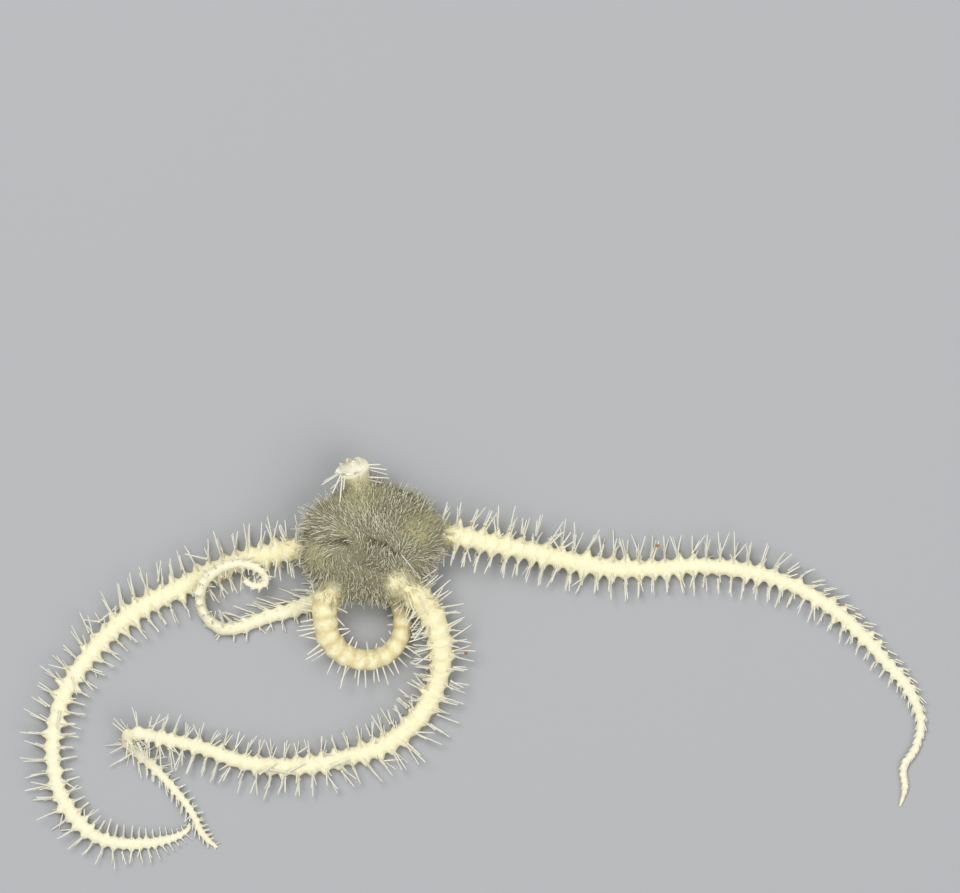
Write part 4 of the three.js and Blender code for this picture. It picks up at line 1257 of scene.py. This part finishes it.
def skin_finish(colours):
    """Cream arms with faint lines and pores, and a grey-beige coat on the disc, with painted shade
    in the disc's folds, off the arms' comb crests and on arm d's loop.
    """
    look = Finish("skin")
    grain = look.noise(0.14 * MM, 4)
    pits = look.cells(0.085 * MM)
    root, share = look.mark("root"), look.mark("share")
    cream = look.blend((share * 1.1 - 0.15).limited(), colours.cream, colours.tip)
    stain = (look.noise(1.2 * MM) * 2.4 - 0.85).limited() * (root * 0.6 + 0.16)
    cream = look.blend(stain, cream, colours.yellow)
    # Painted shade: a darker yellow off the comb crests, in the hollows between the combs
    valley_shade = (grain * 2.2 - 0.75).limited() * (1 - look.mark("comb")).limited() * 0.2
    cream = look.blend(valley_shade, cream, colours.yellow)
    worn = (look.noise(0.7 * MM) * 2.6 - 0.8).limited()
    cream = look.blend(look.mark("line") * worn * (root * 0.3 + 0.2), cream, colours.line)
    cloud = (look.noise(0.5 * MM) * 2.0 - 0.4).limited()
    # The band mark holds the darker rings and the painted shade on arm d's loop
    rings = (look.mark("band") * (cloud * 0.7 + 0.35)).limited()
    cream = look.blend(rings, cream, colours.band)
    cream = look.blend((0.55 - pits).limited() * 0.22, cream, colours.line)
    mottle = (look.noise(0.45 * MM, 4) * 3.0 - 1.3).limited() * (root * 0.5 + 0.24)
    cream = look.blend(mottle, cream, colours.mottle)
    cream = look.blend(look.mark("pore") * 0.35, cream, colours.pore)
    cream = look.blend(look.mark("chalk"), cream, colours.chalk)
    olive = (look.mark("olive") * 1.1 + look.noise(0.9 * MM) * 1.6 - 0.75).limited()
    grey = look.blend(olive, colours.grey, colours.olive)
    # Painted shade: the disc's folds are darkened towards the fold colour
    grey = look.blend((look.mark("fold") * 0.8).limited(), grey, colours.fold)
    coat = (look.mark("coat") * 1.2 - 0.1 + (grain - 0.5) * 0.9 * (1 - look.mark("coat"))).limited()
    return look.set(
        Base_Color=look.blend(coat, cream, grey), Roughness=0.4 + grain * 0.3,
        Normal=look.bump(grain * 0.7 + pits * 0.5, 0.035 * MM, 0.7), Subsurface_Weight=0.1,
        Subsurface_Radius=(1.0, 0.85, 0.6), Subsurface_Scale=0.2 * MM, Specular_IOR_Level=0.4)


def spine_finish(colours):
    """Glassy grey-white spines, creamier at the foot, with painted shade in the waists between the
    beads.
    """
    look = Finish("glassy_spines")
    share, tone = look.mark("share"), look.mark("tone")
    colour = look.blend((share * 2.2).limited(), colours.spine_foot, colours.spine)
    colour = look.blend((tone * 1.6 - 0.7).limited() * 0.5, colour, colours.dull_spine_and_shade)
    # Painted shade: each waist between two beads is duller, each bead's swell stays pale
    beads = (share * ((SPINE_RINGS - 1) * math.pi) - math.pi / 2).wave() * 0.35
    colour = look.blend(beads, colour, colours.dull_spine_and_shade)
    grain = look.noise(0.07 * MM, 3)
    return look.set(
        Base_Color=colour, Roughness=0.2 + grain * 0.2, Normal=look.bump(grain, 0.01 * MM, 0.5),
        Transmission_Weight=0.15, IOR=1.5, Coat_Weight=0.3, Coat_Roughness=0.2)


def spinelet_finish(colours):
    """Grey-beige hair-fine spinelets with pale tips, some pale all along; the pale is partly their
    own colour and partly painted highlight.
    """
    look = Finish("spinelets")
    share, tone = look.mark("share"), look.mark("tone")
    colour = look.blend(share, colours.spinelet_root, colours.spinelet)
    # Pale spinelets, paler towards the tip: partly their own colour, partly painted highlight
    pale = (tone * 20.0 - 14.6).limited() * 0.88 + (tone * 1.3).limited() * 0.2
    colour = look.blend((pale * (0.35 + share * 0.65)).limited(), colour, colours.spinelet_pale_and_highlight)
    colour = look.blend(look.mark("warm") * 0.7, colour, colours.spinelet_warm)
    grain = look.noise(0.05 * MM, 2)
    return look.set(Base_Color=colour, Roughness=0.35 + grain * 0.2,
                    Normal=look.bump(grain, 0.005 * MM, 0.5), Transmission_Weight=0.25, IOR=1.45)


def chalk_finish(colours):
    """The bare white calcite of a broken arm, grainy and stained a little in soft clouds."""
    look = Finish("chalk")
    grain = look.noise(0.1 * MM, 5)
    stain = (look.noise(0.8 * MM) * 4.0 - 1.6).limited() * 0.8
    return look.set(
        Base_Color=look.blend(stain, colours.chalk, colours.stained),
        Roughness=0.6 + grain * 0.25,
        Normal=look.bump(grain + look.cells(0.12 * MM), 0.03 * MM, 0.8))


def jaw_finish(colours):
    """Swollen, pale yellow-white jaws with a soft yellow cloud."""
    look = Finish("jaws")
    grain = look.noise(0.12 * MM, 4)
    stain = (look.noise(0.6 * MM) * 2.4 - 0.9).limited() * 0.5
    return look.set(
        Base_Color=look.blend(stain, colours.cream, colours.yellow),
        Roughness=0.4 + grain * 0.2, Normal=look.bump(grain, 0.02 * MM, 0.6),
        Subsurface_Weight=0.15, Subsurface_Radius=(1.0, 0.8, 0.5), Subsurface_Scale=0.2 * MM)


def papilla_finish(colours):
    """Dark brown papillae, paler at the tip."""
    look = Finish("papillae")
    grain = look.noise(0.05 * MM, 2)
    colour = look.blend(look.mark("share") * 0.5, colours.fold, colours.pore)
    return look.set(Base_Color=colour, Roughness=0.4 + grain * 0.2,
                    Normal=look.bump(grain, 0.01 * MM, 0.5))


def grain_finish(colours):
    """Amber sand, glossy in places."""
    look = Finish("sand")
    cloud = look.noise(0.12 * MM, 3)
    colour = look.blend((cloud * 2.0 - 0.6).limited(), colours.grain, colours.pore)
    return look.set(Base_Color=colour, Roughness=0.25 + cloud * 0.4,
                    Normal=look.bump(cloud, 0.02 * MM, 0.7), Coat_Weight=0.2)


def floor_finish(colours):
    """The matt floor, faintly clouded."""
    look = Finish("pale_floor")
    darker = [channel * 0.97 for channel in colours.floor]
    colour = look.blend(look.noise(30 * MM, 2) * 0.25, colours.floor, darker)
    return look.set(Base_Color=colour, Roughness=0.85, Specular_IOR_Level=0.1)


# Sizes and colours that a user may change


def real(name, description, default, **limits):
    return FloatProperty(name=name, description=description, default=default, **limits)


def whole(name, description, default, **limits):
    return IntProperty(name=name, description=description, default=default, **limits)


def length(name, description, default):
    return real(name, description, default, unit="LENGTH", precision=6, min=0.0)


def tint(name, description, *default):
    return FloatVectorProperty(name=name, description=description, default=default, subtype="COLOR",
                               size=3, min=0.0, max=1.0)


class SkinSizes(bpy.types.PropertyGroup):
    around: whole("Around", "Faces round an arm", 26, min=12)
    rings: whole("Rings", "Rings of each segment", 14, min=6)
    disc_steps: whole("Disc steps", "Faces round the disc", 160, min=32)
    comb: length("Comb", "How far the side plates stand out", 0.66 * MM)
    comb_sharpness: real("Comb sharpness", "How narrow the combs are", 1.15, min=0.5)
    plate_step: length("Plate step", "How far a back plate laps over the next", 0.03 * MM)
    pore_depth: length("Pore depth", "Depth of a tube-foot pore", 0.05 * MM)
    lumps: real("Lumps", "Soft lumps of an arm, as a share of its width", 0.08, min=0.0)
    waist: real("Waist", "Width between two combs, as a share", 0.93, min=0.5, max=1.0)


class EndSizes(bpy.types.PropertyGroup):
    facets: whole("Facets", "Facets round the broken end", 15, min=6)
    chips: length("Chips", "How far the broken end's corners are chipped", 0.26 * MM)
    seed: whole("Seed", "Start of the draws", 3, min=1)


class SpineSizes(bpy.types.PropertyGroup):
    radius: length("Radius", "Radius of a spine above its foot", 0.074 * MM)
    sink: length("Sink", "How deep a spine's foot is in its comb", 0.12 * MM)
    fan: real("Fan", "How far a comb's spines fan out, 1 is fully", 0.75, min=0.0, max=1.2)
    bend: real("Bend", "How far a spine bends, as a share of its length", 0.018)
    lost: real("Lost", "Share of the spines that are broken off", 0.05, min=0.0, max=1.0)
    loose: real("Loose", "Share of the spines that hang at an odd angle", 0.06, min=0.0, max=1.0)
    seed: whole("Seed", "Start of the draws", 5)


class SpineletSizes(bpy.types.PropertyGroup):
    count: whole("Count", "Places for spinelets", 5800, min=10)
    strays: whole("Strays", "Places for spinelets on the root of each arm", 260, min=0)
    stout: real("Stout", "Share of the spinelets that are long and pale", 0.3, min=0.0, max=1.0)
    radius: length("Radius", "Radius of a spinelet", 0.028 * MM)
    length: length("Length", "Length of a spinelet", 0.86 * MM)
    lean: real("Lean", "Lean from upright, in degrees", 62.0)
    forked: real("Forked", "Share with a forked tip", 0.25)
    seed: whole("Seed", "Start of the draws", 8)


class MouthSizes(bpy.types.PropertyGroup):
    papillae: whole("Papillae", "Papillae on each side of a jaw", 7, min=1)
    papilla_length: length("Papilla length", "Length of a papilla", 0.16 * MM)
    seed: whole("Seed", "Start of the draws", 4)


class StageSizes(bpy.types.PropertyGroup):
    height: length("Camera height", "Height of the camera over the floor", 0.6)
    view_width: length("View width", "Width of the photographed field", 0.08)
    floor: length("Floor", "Side of the floor", 1.2)
    key: real("Key light", "Power of the key light", 1.88, unit="POWER")
    fill: real("Fill light", "Power of the fill light", 1.2, unit="POWER")
    air: real("Surrounding light", "Strength of the soft light from all round", 0.44)


class StarColours(bpy.types.PropertyGroup):
    cream: tint("Cream", "Arm plates", 0.92, 0.875, 0.585)
    tip: tint("Tip", "Arm plates near the tips", 0.90, 0.87, 0.69)
    # The yellow also paints the shade off the arms' comb crests
    yellow: tint("Yellow", "Arm roots and hollows", 0.80, 0.69, 0.35)
    mottle: tint("Mottle", "Soft brownish clouds of the arm roots", 0.60, 0.49, 0.25)
    line: tint("Line", "Lines between the plates", 0.50, 0.43, 0.25)
    # The band colour also paints the shade on arm d's loop
    band: tint("Band", "Darker rings of a looped arm", 0.66, 0.53, 0.22)
    pore: tint("Pore", "Tube-foot pores", 0.24, 0.14, 0.07)
    grey: tint("Grey", "The disc's skin", 0.30, 0.28, 0.17)
    olive: tint("Olive", "Yellower patches of the disc's skin", 0.46, 0.43, 0.22)
    # Painted shade in the disc's folds; the papillae take their dark brown from it too
    fold: tint("Fold", "Depth of the disc's folds", 0.08, 0.05, 0.03)
    spine: tint("Spine", "Arm spines", 0.92, 0.905, 0.79)
    spine_foot: tint("Spine foot", "Feet of the arm spines", 0.92, 0.87, 0.64)
    # The dull spine colour also paints the shade in the waists between the spines' beads
    dull_spine_and_shade: tint("Dull spine", "The duller arm spines", 0.72, 0.70, 0.58)
    spinelet: tint("Spinelet", "Tips of the disc's spinelets", 0.67, 0.64, 0.46)
    spinelet_root: tint("Spinelet root", "Roots of the disc's spinelets", 0.345, 0.32, 0.195)
    # The pale spinelet colour is partly painted highlight
    spinelet_pale_and_highlight: tint("Pale spinelet", "The palest of the disc's spinelets", 0.97, 0.945, 0.77)
    spinelet_warm: tint("Warm spinelet", "The spinelets near the arms", 0.78, 0.745, 0.48)
    chalk: tint("Chalk", "The broken end", 0.86, 0.845, 0.73)
    stained: tint("Stained chalk", "Stains of the broken end", 0.66, 0.62, 0.40)
    grain: tint("Grain", "Grains of sand", 0.46, 0.22, 0.05)
    floor: tint("Floor", "The pale floor", 0.40, 0.408, 0.42)


# Operators


class BRITTLESTAR_OT_skin(bpy.types.Operator):
    """Make the one skin of the disc and the arms"""
    bl_idname = "brittlestar.skin"
    bl_label = "Skin"

    def execute(self, context):
        sizes = context.scene.star_skin
        disc = mesh_object("skin", disc_skin(sizes))
        arms = [mesh_object(f"arm_{arm}", arm_skin(arm, route, sizes))
                for arm, route in ROUTES.items()]
        skin = joined(disc, arms)
        nodes = [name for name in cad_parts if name.startswith("arm_") or name == "disc"]
        dress(skin, skin_finish(context.scene.star_colours))
        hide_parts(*nodes)
        return {"FINISHED"}


class BRITTLESTAR_OT_broken_end(bpy.types.Operator):
    """Cap the broken arm with its chalky end"""
    bl_idname = "brittlestar.broken_end"
    bl_label = "Broken end"

    def execute(self, context):
        plug = mesh_object("broken_end", broken_end(ROUTES["e"], context.scene.star_end))
        plug.data.shade_flat()
        dress(plug, chalk_finish(context.scene.star_colours))
        return {"FINISHED"}


class BRITTLESTAR_OT_spines(bpy.types.Operator):
    """Set the glassy spines on the arms"""
    bl_idname = "brittlestar.spines"
    bl_label = "Arm spines"

    def execute(self, context):
        look = spine_finish(context.scene.star_colours)
        for name, needles in needles_by_arm(context.scene).items():
            spines = tubes(f"spines_{name}", needles, SPINE_RINGS, sides=5, taper=spine_taper)
            dress(spines, look)
        return {"FINISHED"}


class BRITTLESTAR_OT_spinelets(bpy.types.Operator):
    """Set the fine spinelets on the disc"""
    bl_idname = "brittlestar.spinelets"
    bl_label = "Disc spinelets"

    def execute(self, context):
        sizes = context.scene.star_spinelets
        hairs = spinelet_hairs(sizes)
        look = spinelet_finish(context.scene.star_colours)
        shafts = tubes("spinelets", hairs, rings=5, sides=3, taper=hair_taper)
        dress(shafts, look)
        prongs = forks(hairs, sizes.forked, sizes.seed)
        tips = tubes("spinelet_forks", prongs, rings=2, sides=3, taper=hair_taper)
        dress(tips, look)
        return {"FINISHED"}


class BRITTLESTAR_OT_mouth(bpy.types.Operator):
    """Make the jaws and their papillae"""
    bl_idname = "brittlestar.mouth"
    bl_label = "Mouth"

    def execute(self, context):
        colours = context.scene.star_colours
        mouth = dress(mesh_object("jaws", jaws()), jaw_finish(colours))
        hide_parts("mouth")
        spikes = papillae(context.scene.star_mouth)
        small = tubes("papillae", spikes, rings=5, sides=6, taper=hair_taper)
        dress(small, papilla_finish(colours))
        return {"FINISHED"}


class BRITTLESTAR_OT_grains(bpy.types.Operator):
    """Set the grains of sand on their spines"""
    bl_idname = "brittlestar.grains"
    bl_label = "Grains"

    def execute(self, context):
        groups = needles_by_arm(context.scene)
        needles = [needle for arm in "abcd" for needle in groups[arm]]
        grains = mesh_object("grains", grain_stones(needles))
        dress(grains, grain_finish(context.scene.star_colours))
        return {"FINISHED"}


class BRITTLESTAR_OT_stage(bpy.types.Operator):
    """Make the pale floor, the soft light and the camera"""
    bl_idname = "brittlestar.stage"
    bl_label = "Stage"

    def execute(self, context):
        scene = context.scene
        sizes = scene.star_stage
        bm = bmesh.new()
        bmesh.ops.create_grid(bm, x_segments=1, y_segments=1, size=sizes.floor / 2)
        floor = mesh_object("floor", bm)
        floor.data.materials.append(floor_finish(scene.star_colours))
        for name, (place, size) in LIGHTS.items():
            soft_light(name, place, size, getattr(sizes, name))
        world = bpy.data.worlds.new("soft_air")
        world.use_nodes = True
        air = world.node_tree.nodes["Background"]
        air.inputs["Color"].default_value = (1.0, 1.0, 1.0, 1.0)
        air.inputs["Strength"].default_value = sizes.air
        scene.world = world
        camera = bpy.data.cameras.new("photo_camera")
        camera.sensor_width = 36.0
        camera.lens = camera.sensor_width * (sizes.height - FIELD_HEIGHT) / sizes.view_width
        camera.clip_start = 0.01
        scene.camera = placed("photo_camera", camera)
        scene.camera.location = away(*PHOTO_MIDDLE) + UP * sizes.height
        scene.view_settings.view_transform = "Standard"
        return {"FINISHED"}


def needles_by_arm(scene):
    """All arm spines: those of each whole arm's combs, and those that are set one by one."""
    sizes = scene.star_spines
    groups = {arm: spine_needles(arm, ROUTES[arm], sizes, scene.star_skin) for arm in "abcd"}
    return {**groups, "single": single_needles(sizes)}


def soft_light(name, place, size, power):
    """A square soft light that looks at the star."""
    light = bpy.data.lights.new(name, "AREA")
    light.size = size
    light.energy = power
    holder = placed(name, light)
    holder.location = place
    holder.rotation_euler = (-Vector(place)).to_track_quat("-Z", "Y").to_euler()


class BRITTLESTAR_PT_panel(bpy.types.Panel):
    """The steps of the brittle star, in order"""
    bl_label = "Brittle star"
    bl_idname = "BRITTLESTAR_PT_panel"
    bl_space_type = "VIEW_3D"
    bl_region_type = "UI"
    bl_category = "Brittle star"

    def draw(self, context):
        for operator in STEPS:
            self.layout.operator(operator.bl_idname)
        for group in GROUPS:
            values = getattr(context.scene, group)
            for name in values.__annotations__:
                self.layout.prop(values, name)


STEPS = (
    BRITTLESTAR_OT_skin, BRITTLESTAR_OT_broken_end, BRITTLESTAR_OT_spines,
    BRITTLESTAR_OT_spinelets, BRITTLESTAR_OT_mouth, BRITTLESTAR_OT_grains, BRITTLESTAR_OT_stage,
)
GROUPS = {
    "star_skin": SkinSizes, "star_end": EndSizes, "star_spines": SpineSizes,
    "star_spinelets": SpineletSizes, "star_mouth": MouthSizes, "star_stage": StageSizes,
    "star_colours": StarColours,
}


def register():
    for group, kind in GROUPS.items():
        bpy.utils.register_class(kind)
        setattr(bpy.types.Scene, group, PointerProperty(type=kind))
    for kind in (*STEPS, BRITTLESTAR_PT_panel):
        bpy.utils.register_class(kind)


def unregister():
    for kind in (BRITTLESTAR_PT_panel, *reversed(STEPS)):
        bpy.utils.unregister_class(kind)
    for group, kind in reversed(GROUPS.items()):
        delattr(bpy.types.Scene, group)
        bpy.utils.unregister_class(kind)


def main():
    register()
    bpy.ops.brittlestar.skin()
    bpy.ops.brittlestar.broken_end()
    bpy.ops.brittlestar.spines()
    bpy.ops.brittlestar.spinelets()
    bpy.ops.brittlestar.mouth()
    bpy.ops.brittlestar.grains()
    bpy.ops.brittlestar.stage()


if __name__ == "__main__":
    main()
